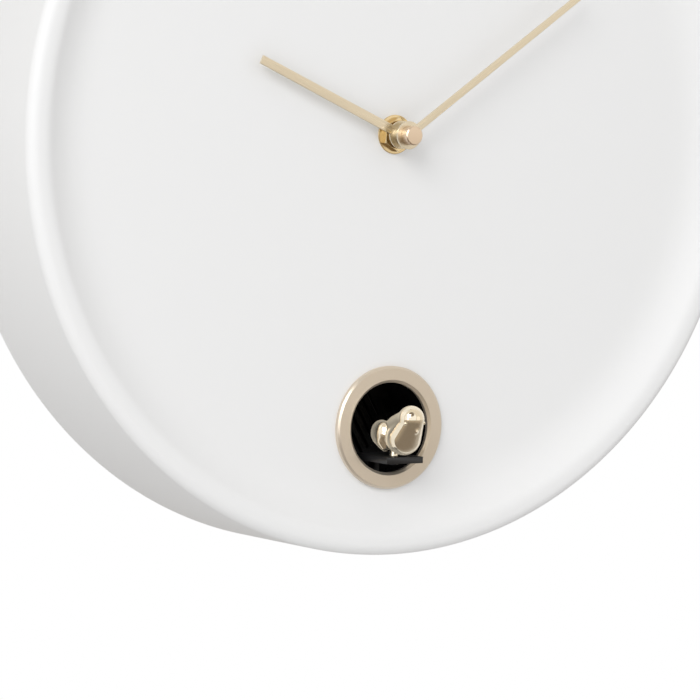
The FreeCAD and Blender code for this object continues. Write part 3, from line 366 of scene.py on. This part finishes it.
def brushed_aluminium(name, lean_degrees):
    """Champagne aluminium brushed along a hand that leans clockwise from upright."""
    material, tree, shader = start_material(name, "#E9DEC7", Metallic=1.0, Roughness=0.3)
    strokes = grain(tree, 0.25, stretch=(1, 1, 0.02), turn=(0, math.radians(-lean_degrees), 0))
    roughen(tree, shader, strokes, 0.24, 0.38)
    emboss(tree, shader, strokes, 0.003)
    return material


# Warm yellow and bright: nut, washer and bushing throw sharp highlights.
plated_brass, tree, shader = start_material(
    "bright_gold_plated_brass", "#E8D2A6", Metallic=1.0, Roughness=0.16)
roughen(tree, shader, grain(tree, 2.0), 0.13, 0.2)

# Pale gold mirror: it shows the room in cream, grey and brown.  A cream lacquer lies over the
# metal; seen at a slant it scatters light, so the edges stay bright before the black niche.
mirror_gold, tree, shader = start_material(
    "vacuum_coated_pale_gold", "#F8ECD4", Roughness=0.05, Sheen_Weight=1.0,
    Sheen_Roughness=0.35, Sheen_Tint=linear("#FFF0D6"))
slant = add(tree, "ShaderNodeLayerWeight", {"Blend": 0.5})
bare = add(tree, "ShaderNodeMapRange", {
    "Value": slant.outputs["Facing"], "From Min": 0.25, "From Max": 0.75, "To Min": 0.96,
    "To Max": 0.25})
tree.links.new(bare.outputs["Result"], shader.inputs["Metallic"])

# Grey-blue and satin: zinc plating over pressed steel.
zinc_steel, tree, shader = start_material(
    "zinc_plated_steel", "#C3C6C9", Metallic=1.0, Roughness=0.28)
roughen(tree, shader, grain(tree, 3.0), 0.22, 0.36)

# Nearly black and satin: a steel screw with a hot oil finish.
blackened_steel, tree, shader = start_material(
    "blackened_steel", "#2C2C2E", Metallic=1.0, Roughness=0.4)
roughen(tree, shader, grain(tree, 2.0), 0.34, 0.48)

# Dark grey ceramic: ferrite magnets.
sintered_ferrite, tree, shader = start_material("sintered_ferrite", "#37373A", Roughness=0.5)
emboss(tree, shader, grain(tree, 0.8), 0.02)
print("metals ready")

# %% [markdown]
# The cap on the hands is turned: a tool leaves fine circles round its middle, which plating
# almost fills.  A wave pattern in rings about the Y axis draws them.  One wave of that
# texture is a twentieth of a full turn long, hence the factor on its scale.

# %% Turned cap
WAVE_UNIT = math.tau / 20
TURNING_PITCH = 0.35                    # real tool marks are 0.1 mm apart; coarser so they show
turned_brass, tree, shader = start_material(
    "turned_gold_plated_brass", "#F1DCC4", Metallic=1.0, Roughness=0.34)
marks = add(tree, "ShaderNodeTexWave", {
    "Vector": add(tree, "ShaderNodeTexCoord").outputs["Object"],
    "Scale": WAVE_UNIT * per_metre(TURNING_PITCH)}, wave_type="RINGS", rings_direction="Y")
roughen(tree, shader, marks.outputs["Fac"], 0.3, 0.38)
emboss(tree, shader, marks.outputs["Fac"], 0.001)
print("turning marks every", TURNING_PITCH, "mm")

# %% [markdown]
# ### Electrical parts
# Boards are fibreglass under a green solder mask; chips are matt epoxy; windings are
# enamelled copper, whose turns show as fine bands; cells have a plain printed sleeve.

# %% Electrical finishes
# Deep green gloss with a faint weave.
solder_mask, tree, shader = start_material("solder_mask_on_fibreglass", "#1E5A3A", Roughness=0.3, IOR=1.55)
emboss(tree, shader, grain(tree, 0.9), 0.01)

# Nearly black and matt.
moulded_epoxy, tree, shader = start_material("moulded_epoxy", "#161617", Roughness=0.6, IOR=1.55)
emboss(tree, shader, grain(tree, 0.4), 0.01)

WIRE_PITCH = 0.4                        # turns of fine wire, drawn coarser so that they show
enamelled_copper, tree, shader = start_material(
    "enamelled_copper_winding", "#B5653A", Metallic=1.0, Roughness=0.3)
turns = add(tree, "ShaderNodeTexWave", {
    "Vector": add(tree, "ShaderNodeTexCoord").outputs["Object"],
    "Scale": WAVE_UNIT * per_metre(WIRE_PITCH)}, bands_direction="Z")
emboss(tree, shader, turns.outputs["Fac"], 0.05)

# Slightly shiny printed film, warm grey.
cell_sleeve, tree, shader = start_material("printed_film_sleeve", "#7F868C", Roughness=0.3, Coat_Weight=0.3)
roughen(tree, shader, grain(tree, 4.0), 0.25, 0.38)

# Soft red plastic with a dull shine.
wire_pvc, tree, shader = start_material("extruded_red_pvc", "#A8322C", Roughness=0.45, IOR=1.54)
roughen(tree, shader, grain(tree, 2.0), 0.4, 0.52)

painted_floor, tree, shader = start_material("painted_floor", "#F2F2F2", Roughness=0.8)
floor.data.materials.append(painted_floor)
print("materials", len(bpy.data.materials))

# %% [markdown]
# ## Shaping helpers
# Most pieces of a clock are round.  They are drawn as half a cross-section, a list of corners
# (radius, Y, rounding), and spun about an axis along Y.  First the corners are rounded.

# %% Rounded cross-sections
ARC_STEP = math.radians(11)             # longest step round a rounded corner
MERGE_REACH = 0.001                     # vertices nearer than this become one


def rounded(corners, closed=True):
    """Points (radius, y) along a cross-section whose corners have their own rounding."""
    points = []
    for index, (radius, y, rounding) in enumerate(corners):
        here = Vector((radius, y))
        if rounding == 0 or (not closed and index in (0, len(corners) - 1)):
            points.append(here)
            continue
        before = Vector(corners[index - 1][:2]) - here
        after = Vector(corners[(index + 1) % len(corners)][:2]) - here
        turn = math.pi - before.angle(after)
        reach = rounding * math.tan(turn / 2)
        steps = max(2, math.ceil(turn / ARC_STEP))
        start = here + before.normalized() * reach
        middle = here + (before.normalized() + after.normalized()).normalized() * (
            rounding / math.cos(turn / 2))
        spoke = start - middle
        sense = 1 if before.x * after.y - before.y * after.x < 0 else -1
        points += [middle + Matrix.Rotation(sense * turn * step / steps, 2) @ spoke
                   for step in range(steps + 1)]
    return points


def spin_section(bm, points, x=0.0, z=0.0, steps=96, closed=True):
    """Spins a cross-section about the line along Y through (x, z)."""
    ring = [bm.verts.new((x + point.x, point.y, z)) for point in points]
    pairs = list(zip(ring, ring[1:] + ring[:1] if closed else ring[1:]))
    edges = [bm.edges.new(pair) for pair in pairs]
    bmesh.ops.spin(bm, geom=ring + edges, cent=(x, 0, z), axis=(0, 1, 0), angle=math.tau,
                   steps=steps, use_merge=True)
    bmesh.ops.remove_doubles(bm, verts=bm.verts, dist=MERGE_REACH)


def check_rounding():
    """A square with rounded corners keeps its width: a test of rounded()."""
    points = rounded([(1, 0, 0.2), (2, 0, 0.2), (2, 1, 0.2), (1, 1, 0.2)])
    radii = [point.x for point in points]
    print("test section spans", round(min(radii), 4), "to", round(max(radii), 4), "points", len(points))


check_rounding()

# %% [markdown]
# A finished mesh is scaled from millimetres to metres, given outward faces, smooth shading
# with sharp edges where faces meet steeply, a material, and the engineering body it moves
# with.  It stands for the rough engineering parts named in `stands_for`.

# %% Finishing a piece
SHARP_EDGE = math.radians(32)


def mesh_from(bm, name):
    """A mesh in metres from a bmesh in millimetres, with outward faces."""
    bmesh.ops.recalc_face_normals(bm, faces=bm.faces)
    bmesh.ops.scale(bm, vec=(MM, MM, MM), verts=bm.verts)
    mesh = bpy.data.meshes.new(name)
    bm.to_mesh(mesh)
    bm.free()
    return mesh


def finish_piece(bm, name, body, material, stands_for=(), flat=False):
    """Makes the object, lets it ride on its body, and hides the engineering parts that it replaces.  A flat
    piece has its large faces shaded flat, so that only its softened edges look round."""
    mesh = mesh_from(bm, name)
    mesh.polygons.foreach_set("use_smooth", [True] * len(mesh.polygons))
    mesh.set_sharp_from_angle(angle=SHARP_EDGE)
    mesh.materials.append(material)
    piece = bpy.data.objects.new(name, mesh)
    bpy.context.scene.collection.objects.link(piece)
    if flat:
        piece.modifiers.new("flat_faces", "WEIGHTED_NORMAL").keep_sharp = True
    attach(piece, body)
    if stands_for:
        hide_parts(*stands_for)
    print(name, "faces", len(mesh.polygons))

# %% [markdown]
# ## The case
# Dial, cove, lip and side wall are one moulding of nearly even thickness.  The cross-section
# runs from the edge of the flat dial, up the cove, over the soft lip and back along the side
# wall, then returns inside.  The dial itself can't be spun, because it has the bird's window in it,
# so it is a flat fill between three circles.

# %% Case
WALL = 2.6
DIAL_BACK_Y = DIAL_Y + WALL
DIAL_R, LIP_IN_R = 133.0, 142.4         # foot and top of the cove
FOOT_ROUND = 26.0                       # the dial rises into the cove in a slow curve
SEAM_R = 122.0                          # where the flat fill meets the spun part
WINDOW_HOLE_R, CENTRE_HOLE_R = 18.1, 4.1
WINDOW_STEPS, CENTRE_STEPS = 96, 48     # sides of the two holes
INNER_R = CASE_R - WALL
COVE_SLOPE = math.atan2(DIAL_Y - LIP_Y, LIP_IN_R - DIAL_R)
COVE_SHIFT = WALL * math.tan(COVE_SLOPE / 2)    # keeps the cove's wall as thick as the dial
CASE_STEPS = 288


def flat_rim(bm, y, centre_z, radius):
    """Open edges that lie in the plane y and on a circle."""
    plane_gap, circle_gap = 0.01, 0.2
    return [edge for edge in bm.edges if edge.is_boundary and all(
        abs(vert.co.y - y) < plane_gap and
        abs(math.hypot(vert.co.x, vert.co.z - centre_z) - radius) < circle_gap
        for vert in edge.verts)]


def circle_edges(bm, y, centre_z, radius, steps):
    """A new circle of edges in the plane y."""
    place = Matrix.Translation((0, y, centre_z)) @ Matrix.Rotation(math.pi / 2, 4, "X")
    ring = set(bmesh.ops.create_circle(bm, segments=steps, radius=radius, matrix=place)["verts"])
    return [edge for edge in bm.edges if ring.issuperset(edge.verts)]


bm = bmesh.new()
spin_section(bm, rounded([
    (SEAM_R, DIAL_Y, 0), (DIAL_R, DIAL_Y, FOOT_ROUND), (LIP_IN_R, LIP_Y, 7.0), (CASE_R, LIP_Y, 4.0),
    (CASE_R, 0, 0.8), (INNER_R, 0, 0.4), (INNER_R, LIP_Y + WALL, 1.5),
    (LIP_IN_R + COVE_SHIFT, LIP_Y + WALL, 1.5), (DIAL_R + COVE_SHIFT, DIAL_BACK_Y, 0),
    (SEAM_R, DIAL_BACK_Y, 0)], closed=False), steps=CASE_STEPS, closed=False)
for y in (DIAL_Y, DIAL_BACK_Y):
    loops = flat_rim(bm, y, 0, SEAM_R)
    loops += circle_edges(bm, y, WINDOW_Z, WINDOW_HOLE_R, WINDOW_STEPS)
    loops += circle_edges(bm, y, 0, CENTRE_HOLE_R, CENTRE_STEPS)
    bmesh.ops.triangle_fill(bm, use_beauty=True, use_dissolve=False, edges=loops)
for centre_z, radius in ((WINDOW_Z, WINDOW_HOLE_R), (0, CENTRE_HOLE_R)):
    hole = flat_rim(bm, DIAL_Y, centre_z, radius) + flat_rim(bm, DIAL_BACK_Y, centre_z, radius)
    bmesh.ops.bridge_loops(bm, edges=hole)
print("open edges left in the case:", sum(edge.is_boundary for edge in bm.edges))

# %% [markdown]
# Inside, six pillars take the cover's screws and three low bosses take the niche.  They are
# round studs that run into the moulding's wall.

# %% Case studs


def stud(bm, x, z, front, back, radius):
    """A closed round post along Y with a softened back edge."""
    spin_section(bm, rounded([(0, front, 0), (radius, front, 0), (radius, back, 0.3),
                              (0, back, 0)], closed=False), x, z, steps=24, closed=False)


def around(x, z, degrees, radius):
    """The point (x, z) at an angle and distance from a centre."""
    return (x + radius * math.cos(math.radians(degrees)), z + radius * math.sin(math.radians(degrees)))


PILLAR_R, PILLAR_CIRCLE, PILLARS = 5.0, 142.5, 6
PILLAR_ROOT = 1.5                       # how far before the dial's face a pillar starts
BOSS_R, BOSS_CIRCLE = 3.2, 25.5
BOSS_ROOT, BOSS_HIGH = 1.0, 4.0
COVER_THICK = 2.0
COVER_IN_Y = box_mm("cover_screws")[1].y - COVER_THICK
for step in range(PILLARS):
    stud(bm, *around(0, 0, 360 / PILLARS * step, PILLAR_CIRCLE), DIAL_Y - PILLAR_ROOT,
         COVER_IN_Y, PILLAR_R)
for degrees in (0, 90, 180):
    stud(bm, *around(0, WINDOW_Z, degrees, BOSS_CIRCLE), DIAL_BACK_Y - BOSS_ROOT,
         DIAL_BACK_Y + BOSS_HIGH, BOSS_R)
finish_piece(bm, "case_moulding", "case", satin_moulded_abs, ["case_shell"])

# %% [markdown]
# ## The window's ring
# A flat aluminium ring stands round the window, glued to the dial.  Its outer edge has a
# narrow chamfer and its inner edge a wider one, so both throw a thin line of light.  It
# reaches a little way over the hole, to hide the mouth of the black tube behind it.

# %% Window ring
TUBE_WALL, RING_LAP = 1.6, 0.4          # the tube's mouth in the hole, and the ring over it
RING_IN_R = WINDOW_HOLE_R - TUBE_WALL - RING_LAP
BEZEL_R, RING_FRONT = bezel_high.z - WINDOW_Z, bezel_low.y
RING_EDGE, MOUTH_EDGE = 0.7, 1.0        # outer and inner chamfer
bm = bmesh.new()
spin_section(bm, rounded([
    (RING_IN_R, RING_FRONT + MOUTH_EDGE, 0.3), (RING_IN_R + MOUTH_EDGE, RING_FRONT, 0.2),
    (BEZEL_R - RING_EDGE, RING_FRONT, 0.12), (BEZEL_R, RING_FRONT + RING_EDGE, 0.12),
    (BEZEL_R, DIAL_Y, 0), (RING_IN_R, DIAL_Y, 0)]), z=WINDOW_Z, steps=160)
finish_piece(bm, "window_ring", "case", blasted_aluminium, ["bezel_ring"], flat=True)

# %% [markdown]
# ## Hands
# Each hand is stamped from thin sheet: a straight bar that tapers a little, on a round disc
# with a hole.  The outline is a circle whose vertices inside the bar's width are left out, so
# that the bar's corners can take their place.  Filled between outline and hole, extruded and
# bevelled, it becomes a plate.

# %% Hand shapes
HAND_DISC_R = 5.0


def extrude_back(bm, depth):
    """Extrudes the flat faces along Y, so that they become a closed plate."""
    made = bmesh.ops.extrude_face_region(bm, geom=list(bm.faces))
    moved = [item for item in made["geom"] if isinstance(item, bmesh.types.BMVert)]
    bmesh.ops.translate(bm, vec=(0, depth, 0), verts=moved)
    bmesh.ops.recalc_face_normals(bm, faces=bm.faces)


def soften(bm, edges, width):
    """Rounds some edges with a narrow bevel."""
    bmesh.ops.bevel(bm, geom=edges, offset=width, offset_type="OFFSET", segments=2, profile=0.5,
                    affect="EDGES", clamp_overlap=True, material=-1)


def hand_plate(bm, length, root, tip, front, back, bore):
    """An upright hand in millimetres: bar, disc and hole, with softened edges."""
    half_root, half_tip = root / 2, tip / 2
    first = math.asin(half_root / HAND_DISC_R)
    steps = 64
    arc = [first + (math.tau - 2 * first) * step / steps for step in range(steps + 1)]
    outline = [bm.verts.new((HAND_DISC_R * math.sin(turn), front, HAND_DISC_R * math.cos(turn)))
               for turn in arc]
    outline += [bm.verts.new((x, front, length)) for x in (-half_tip, half_tip)]
    edges = [bm.edges.new(pair) for pair in zip(outline, outline[1:] + outline[:1])]
    edges += circle_edges(bm, front, 0, bore, 40)
    bmesh.ops.triangle_fill(bm, use_beauty=True, use_dissolve=False, edges=edges)
    bmesh.ops.recalc_face_normals(bm, faces=bm.faces)
    extrude_back(bm, back - front)
    steep = math.radians(60)
    soften(bm, [edge for edge in bm.edges if edge.calc_face_angle(0) > steep], 0.12)


def press_boss(bm, bore, radius, near, far):
    """A turned ring between two heights above the dial."""
    slack = 0.04                        # keeps its bore off the arbor's surface
    spin_section(bm, rounded([(bore + slack, DIAL_Y - far, 0), (radius, DIAL_Y - far, 0.25),
                              (radius, DIAL_Y - near, 0.1), (bore + slack, DIAL_Y - near, 0)]),
                 steps=56)


def lean(bm, degrees):
    """Turns a hand clockwise from upright."""
    bmesh.ops.rotate(bm, cent=(0, 0, 0), verts=bm.verts,
                     matrix=Matrix.Rotation(math.radians(degrees), 3, "Y"))


print("hand discs are", 2 * HAND_DISC_R, "mm across")

# %% [markdown]
# The minute hand turns 5 mm before the hour hand.  A turned boss is pressed into each one: on
# the front of the hour hand and on the back of the minute hand.  Both are made upright, and
# then turned to the time that they show.

# %% Hands
HOUR_ANGLE, MINUTE_ANGLE = 293.9, 54.9  # clockwise from twelve
HOUR_LENGTH, MINUTE_LENGTH = 64.0, 90.0
HOUR_BORE, MINUTE_BORE = 2.5, 1.6       # radii of the arbors they are pressed on
bm = bmesh.new()
hand_plate(bm, HOUR_LENGTH, root=3.4, tip=3.1, front=DIAL_Y - 4.8, back=DIAL_Y - 4.0,
           bore=HOUR_BORE)
press_boss(bm, HOUR_BORE, radius=3.2, near=4.2, far=6.4)
lean(bm, HOUR_ANGLE)
finish_piece(bm, "hour_hand_plate", "hour_arbor", brushed_aluminium("brushed_hour_hand", HOUR_ANGLE),
             ["hour_hand"], flat=True)

bm = bmesh.new()
hand_plate(bm, MINUTE_LENGTH, root=2.8, tip=2.5, front=DIAL_Y - 9.75, back=DIAL_Y - 9.0,
           bore=MINUTE_BORE)
press_boss(bm, MINUTE_BORE, radius=2.4, near=7.0, far=9.4)
lean(bm, MINUTE_ANGLE)
finish_piece(bm, "minute_hand_plate", "minute_arbor",
             brushed_aluminium("brushed_minute_hand", MINUTE_ANGLE), ["minute_hand"],
             flat=True)

# %% [markdown]
# ## Nut, washer and cap
# A washer and a thin hexagon nut clamp the works to the dial, and a plain round cap holds the
# minute hand.  The cap's edge is broken with a small chamfer, which draws a dark thin line
# round its face.

# %% Cap and washer
cap_low, cap_high = box_mm("cap_nut")
CAP_R = cap_high.z
ARBOR_SLACK_R, ARBOR_DEPTH = 1.65, 2.3  # blind hole for the end of the minute arbor
FACE_EDGE, BACK_EDGE = 0.35, 0.2        # chamfers of the cap
BUSHING_SLACK_R = 4.02                  # washer and nut stand just off the bushing's thread
bm = bmesh.new()
spin_section(bm, rounded([
    (0, cap_low.y, 0), (CAP_R - FACE_EDGE, cap_low.y, 0.1), (CAP_R, cap_low.y + FACE_EDGE, 0.1),
    (CAP_R, cap_high.y - BACK_EDGE, 0.1), (CAP_R - BACK_EDGE, cap_high.y, 0),
    (ARBOR_SLACK_R, cap_high.y, 0), (ARBOR_SLACK_R, cap_high.y - ARBOR_DEPTH, 0),
    (0, cap_high.y - ARBOR_DEPTH, 0)], closed=False), closed=False)
finish_piece(bm, "hand_cap", "minute_arbor", turned_brass, ["cap_nut"], flat=True)

washer_low, washer_high = box_mm("dial_washer")
bm = bmesh.new()
spin_section(bm, rounded([
    (BUSHING_SLACK_R, washer_low.y, 0), (washer_high.z, washer_low.y, 0.22),
    (washer_high.z, washer_high.y, 0), (BUSHING_SLACK_R, washer_high.y, 0)]))
finish_piece(bm, "dial_ring_washer", "case", plated_brass, ["dial_washer"])

# %% [markdown]
# The nut is a hexagon whose front corners are turned off in a cone.  A six-sided prism is
# extruded, the cone is cut by one plane per corner, which at this size looks the same as a
# turned chamfer, and then the outer edges are softened.

# %% Hexagon nut
nut_low, nut_high = box_mm("hex_nut")
NUT_CORNER_R = nut_high.x
NUT_FACE_R = NUT_CORNER_R - 0.75        # where the turned cone meets the front face
CONE_LEAN = 1.3                         # the cone's normal, forward for each unit outward
bm = bmesh.new()
edges = circle_edges(bm, nut_low.y, 0, NUT_CORNER_R, 6)
edges += circle_edges(bm, nut_low.y, 0, BUSHING_SLACK_R, 48)
bmesh.ops.triangle_fill(bm, use_beauty=True, use_dissolve=False, edges=edges)
extrude_back(bm, nut_high.y - nut_low.y)
for corner in range(6):
    turn = math.radians(60 * corner)
    outward = Vector((math.cos(turn), -CONE_LEAN, math.sin(turn))).normalized()
    touch = Vector((NUT_FACE_R * math.cos(turn), nut_low.y, NUT_FACE_R * math.sin(turn)))
    cut = bmesh.ops.bisect_plane(bm, geom=bm.verts[:] + bm.edges[:] + bm.faces[:], plane_co=touch,
                                 plane_no=outward, clear_outer=True)
    bmesh.ops.holes_fill(bm, edges=[item for item in cut["geom_cut"]
                                    if isinstance(item, bmesh.types.BMEdge)])
bmesh.ops.recalc_face_normals(bm, faces=bm.faces)
crisp = [edge for edge in bm.edges if len(edge.link_faces) == 2
         and edge.calc_face_angle(0) > math.radians(25)
         and max(math.hypot(vert.co.x, vert.co.z) for vert in edge.verts) > BUSHING_SLACK_R + 0.2]
soften(bm, crisp, 0.1)
print("open edges left in the nut:", sum(edge.is_boundary for edge in bm.edges))
finish_piece(bm, "dial_nut", "case", plated_brass, ["hex_nut"], flat=True)

# %% [markdown]
# ## The bird
# The bird is a small smooth moulding with a mirror coat.  Only soft changes of form show in
# it, so it is built from overlapping egg-shaped lumps, which a voxel remesh joins to one skin
# and smoothing blends.  Places are given as across, ahead of the dial, and above the middle
# of the window.

# %% Bird lumps
VOXEL_MM = 0.32


def lump(bm, place, radii):
    """An egg-shaped lump with radii across, ahead and up."""
    across, ahead, above = place
    where = Matrix.Translation((across, DIAL_Y - ahead, WINDOW_Z + above))
    where = where @ Matrix.Diagonal((*radii, 1))
    bmesh.ops.create_icosphere(bm, subdivisions=4, radius=1.0, matrix=where)


def limb(bm, start, end, start_r, end_r, steps=7):
    """Round lumps in a row that grow or shrink from one end to the other."""
    for step in range(steps + 1):
        share = step / steps
        place = Vector(start).lerp(Vector(end), share)
        radius = start_r + (end_r - start_r) * share
        lump(bm, place, (radius, radius, radius))


bm = bmesh.new()
lump(bm, (0, 15.3, 4.2), (4.8, 4.75, 4.8))                 # head
limb(bm, (0, 15.2, 3.6), (0, 8.0, 0.2), 4.7, 5.2)           # nape
limb(bm, (0, 14.9, 2.6), (0, 10.6, -2.8), 4.7, 6.3)         # throat and breast
lump(bm, (0, 5.8, -2.8), (5.6, 6.2, 5.4))                   # belly and back
limb(bm, (0, 4.0, -3.6), (0, -6.0, -4.8), 4.0, 1.0)         # tail
for side in (-1, 1):
    lump(bm, (side * 4.5, 3.2, -1.7), (3.4, 5.0, 4.8))      # folded wing
    limb(bm, (side * 4.6, 4.2, -4.0), (side * 4.5, 5.6, -6.8), 3.0, 1.4, steps=5)   # leg
limb(bm, (0, 17.6, 1.2), (0, 18.9, -0.2), 1.7, 0.7, steps=4)    # beak
rough_mesh = bpy.data.meshes.new("bird_lumps")
bm.to_mesh(rough_mesh)
bm.free()
rough = bpy.data.objects.new("bird_lumps", rough_mesh)
bpy.context.scene.collection.objects.link(rough)
joined = rough.modifiers.new("skin", "REMESH")
joined.mode = "VOXEL"
joined.voxel_size = VOXEL_MM
skin = bpy.data.meshes.new_from_object(rough.evaluated_get(bpy.context.evaluated_depsgraph_get()))
bpy.data.objects.remove(rough)
print("bird skin faces", len(skin.polygons))

# %% [markdown]
# Smoothing moves every vertex towards the mean of its neighbours, which melts the lumps
# together.  Each eye is a small bead set into the head, and the bird stands on one thin post.

# %% Bird skin
bm = bmesh.new()
bm.from_mesh(skin)
bpy.data.meshes.remove(skin)
SMOOTHING_ROUNDS = 7
for turn in range(SMOOTHING_ROUNDS):
    bmesh.ops.smooth_vert(bm, verts=bm.verts, factor=0.5, use_axis_x=True, use_axis_y=True,
                          use_axis_z=True)
EYE_R = 0.7
for side in (-1, 1):
    lump(bm, (side * 3.75, 17.6, 2.9), (EYE_R, EYE_R, EYE_R))
POST_FOOT_R, POST_TOP_R, POST_HIGH = 1.5, 1.2, 4.0
PLATFORM_TOP = box_mm("sled")[1].z
POST_Y = (box_mm("bird_screw")[0].y + box_mm("bird_screw")[1].y) / 2
bmesh.ops.create_cone(bm, cap_ends=True, segments=32, radius1=POST_FOOT_R, radius2=POST_TOP_R,
                      depth=POST_HIGH,
                      matrix=Matrix.Translation((0, POST_Y, PLATFORM_TOP + POST_HIGH / 2)))
finish_piece(bm, "bird_figure", "bird_sled", mirror_gold, ["bird"])

# %% [markdown]
# ## Parts that keep their engineering mesh
# The works, the cover and the small hardware have the right shape already.  Each gets its
# material, and one of two finishes that leave its mesh alone: box-like parts get a narrow
# bevel, because moulded and pressed edges are never sharp, and the rest only have their
# shading split at sharp edges.  A weld comes first, because the engineering mesh is loose
# triangles.

# %% Dressing the engineering parts
WELD_REACH = 0.002                      # corners nearer than this are the same corner


def dress(material, nodes, bevel_mm=0.0):
    """Gives engineering parts a material, and soft edges or split shading."""
    for node in nodes.split():
        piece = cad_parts[node]
        piece.data.materials.clear()
        piece.data.materials.append(material)
        piece.data.polygons.foreach_set("use_smooth", [True] * len(piece.data.polygons))
        piece.modifiers.new("weld", "WELD").merge_threshold = WELD_REACH * MM
        if bevel_mm:
            edge = piece.modifiers.new("edge_break", "BEVEL")
            edge.width = bevel_mm * MM
            edge.segments = 2
            edge.limit_method = "ANGLE"
            edge.angle_limit = SHARP_EDGE
            edge.harden_normals = True
        else:
            split = piece.modifiers.new("crisp_edges", "EDGE_SPLIT")
            split.split_angle = SHARP_EDGE
            split.use_edge_sharp = False


dress(gloss_moulded_abs, "niche_tube")
dress(black_acetal, "sled", 0.12)
dress(eroded_moulded_abs, "back_cover")
dress(eroded_moulded_abs, "battery_door", 0.2)
dress(plain_moulded_abs, "battery_box movement_front movement_back")
dress(plated_brass, "threaded_bushing")
dress(blackened_steel, "bird_screw")
dress(zinc_steel, "cover_screws hanger_screws inner_screws gear_axles motor_can stator "
      "quartz_crystal speaker_frame switch_body volume_body battery_contacts hanger_plate")
dress(pressed_felt, "wall_bumpers")
dress(white_acetal, "drive_gear idler_gear motor_end_cap hour_wheel centre_wheel minute_wheel "
      "third_wheel seconds_wheel fifth_wheel wire_connectors")
dress(handled_abs, "setting_knob volume_knob switch_slider")
dress(enamelled_copper, "motor_armature coil")
dress(solder_mask, "movement_board main_board")
dress(moulded_epoxy, "sled_sensor movement_chip board_chips board_capacitors")
dress(pressed_rubber, "rubber_washer")
dress(sintered_ferrite, "rotor speaker_magnet")
dress(paper_pulp, "speaker_cone")
dress(cell_sleeve, "batteries")
dress(wire_pvc, "movement_wire battery_wire motor_wire speaker_wire")
undressed = [name for name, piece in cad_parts.items()
             if not piece.hide_render and not any(key.type == "WELD" for key in piece.modifiers)]
print("parts without a finish:", undressed)
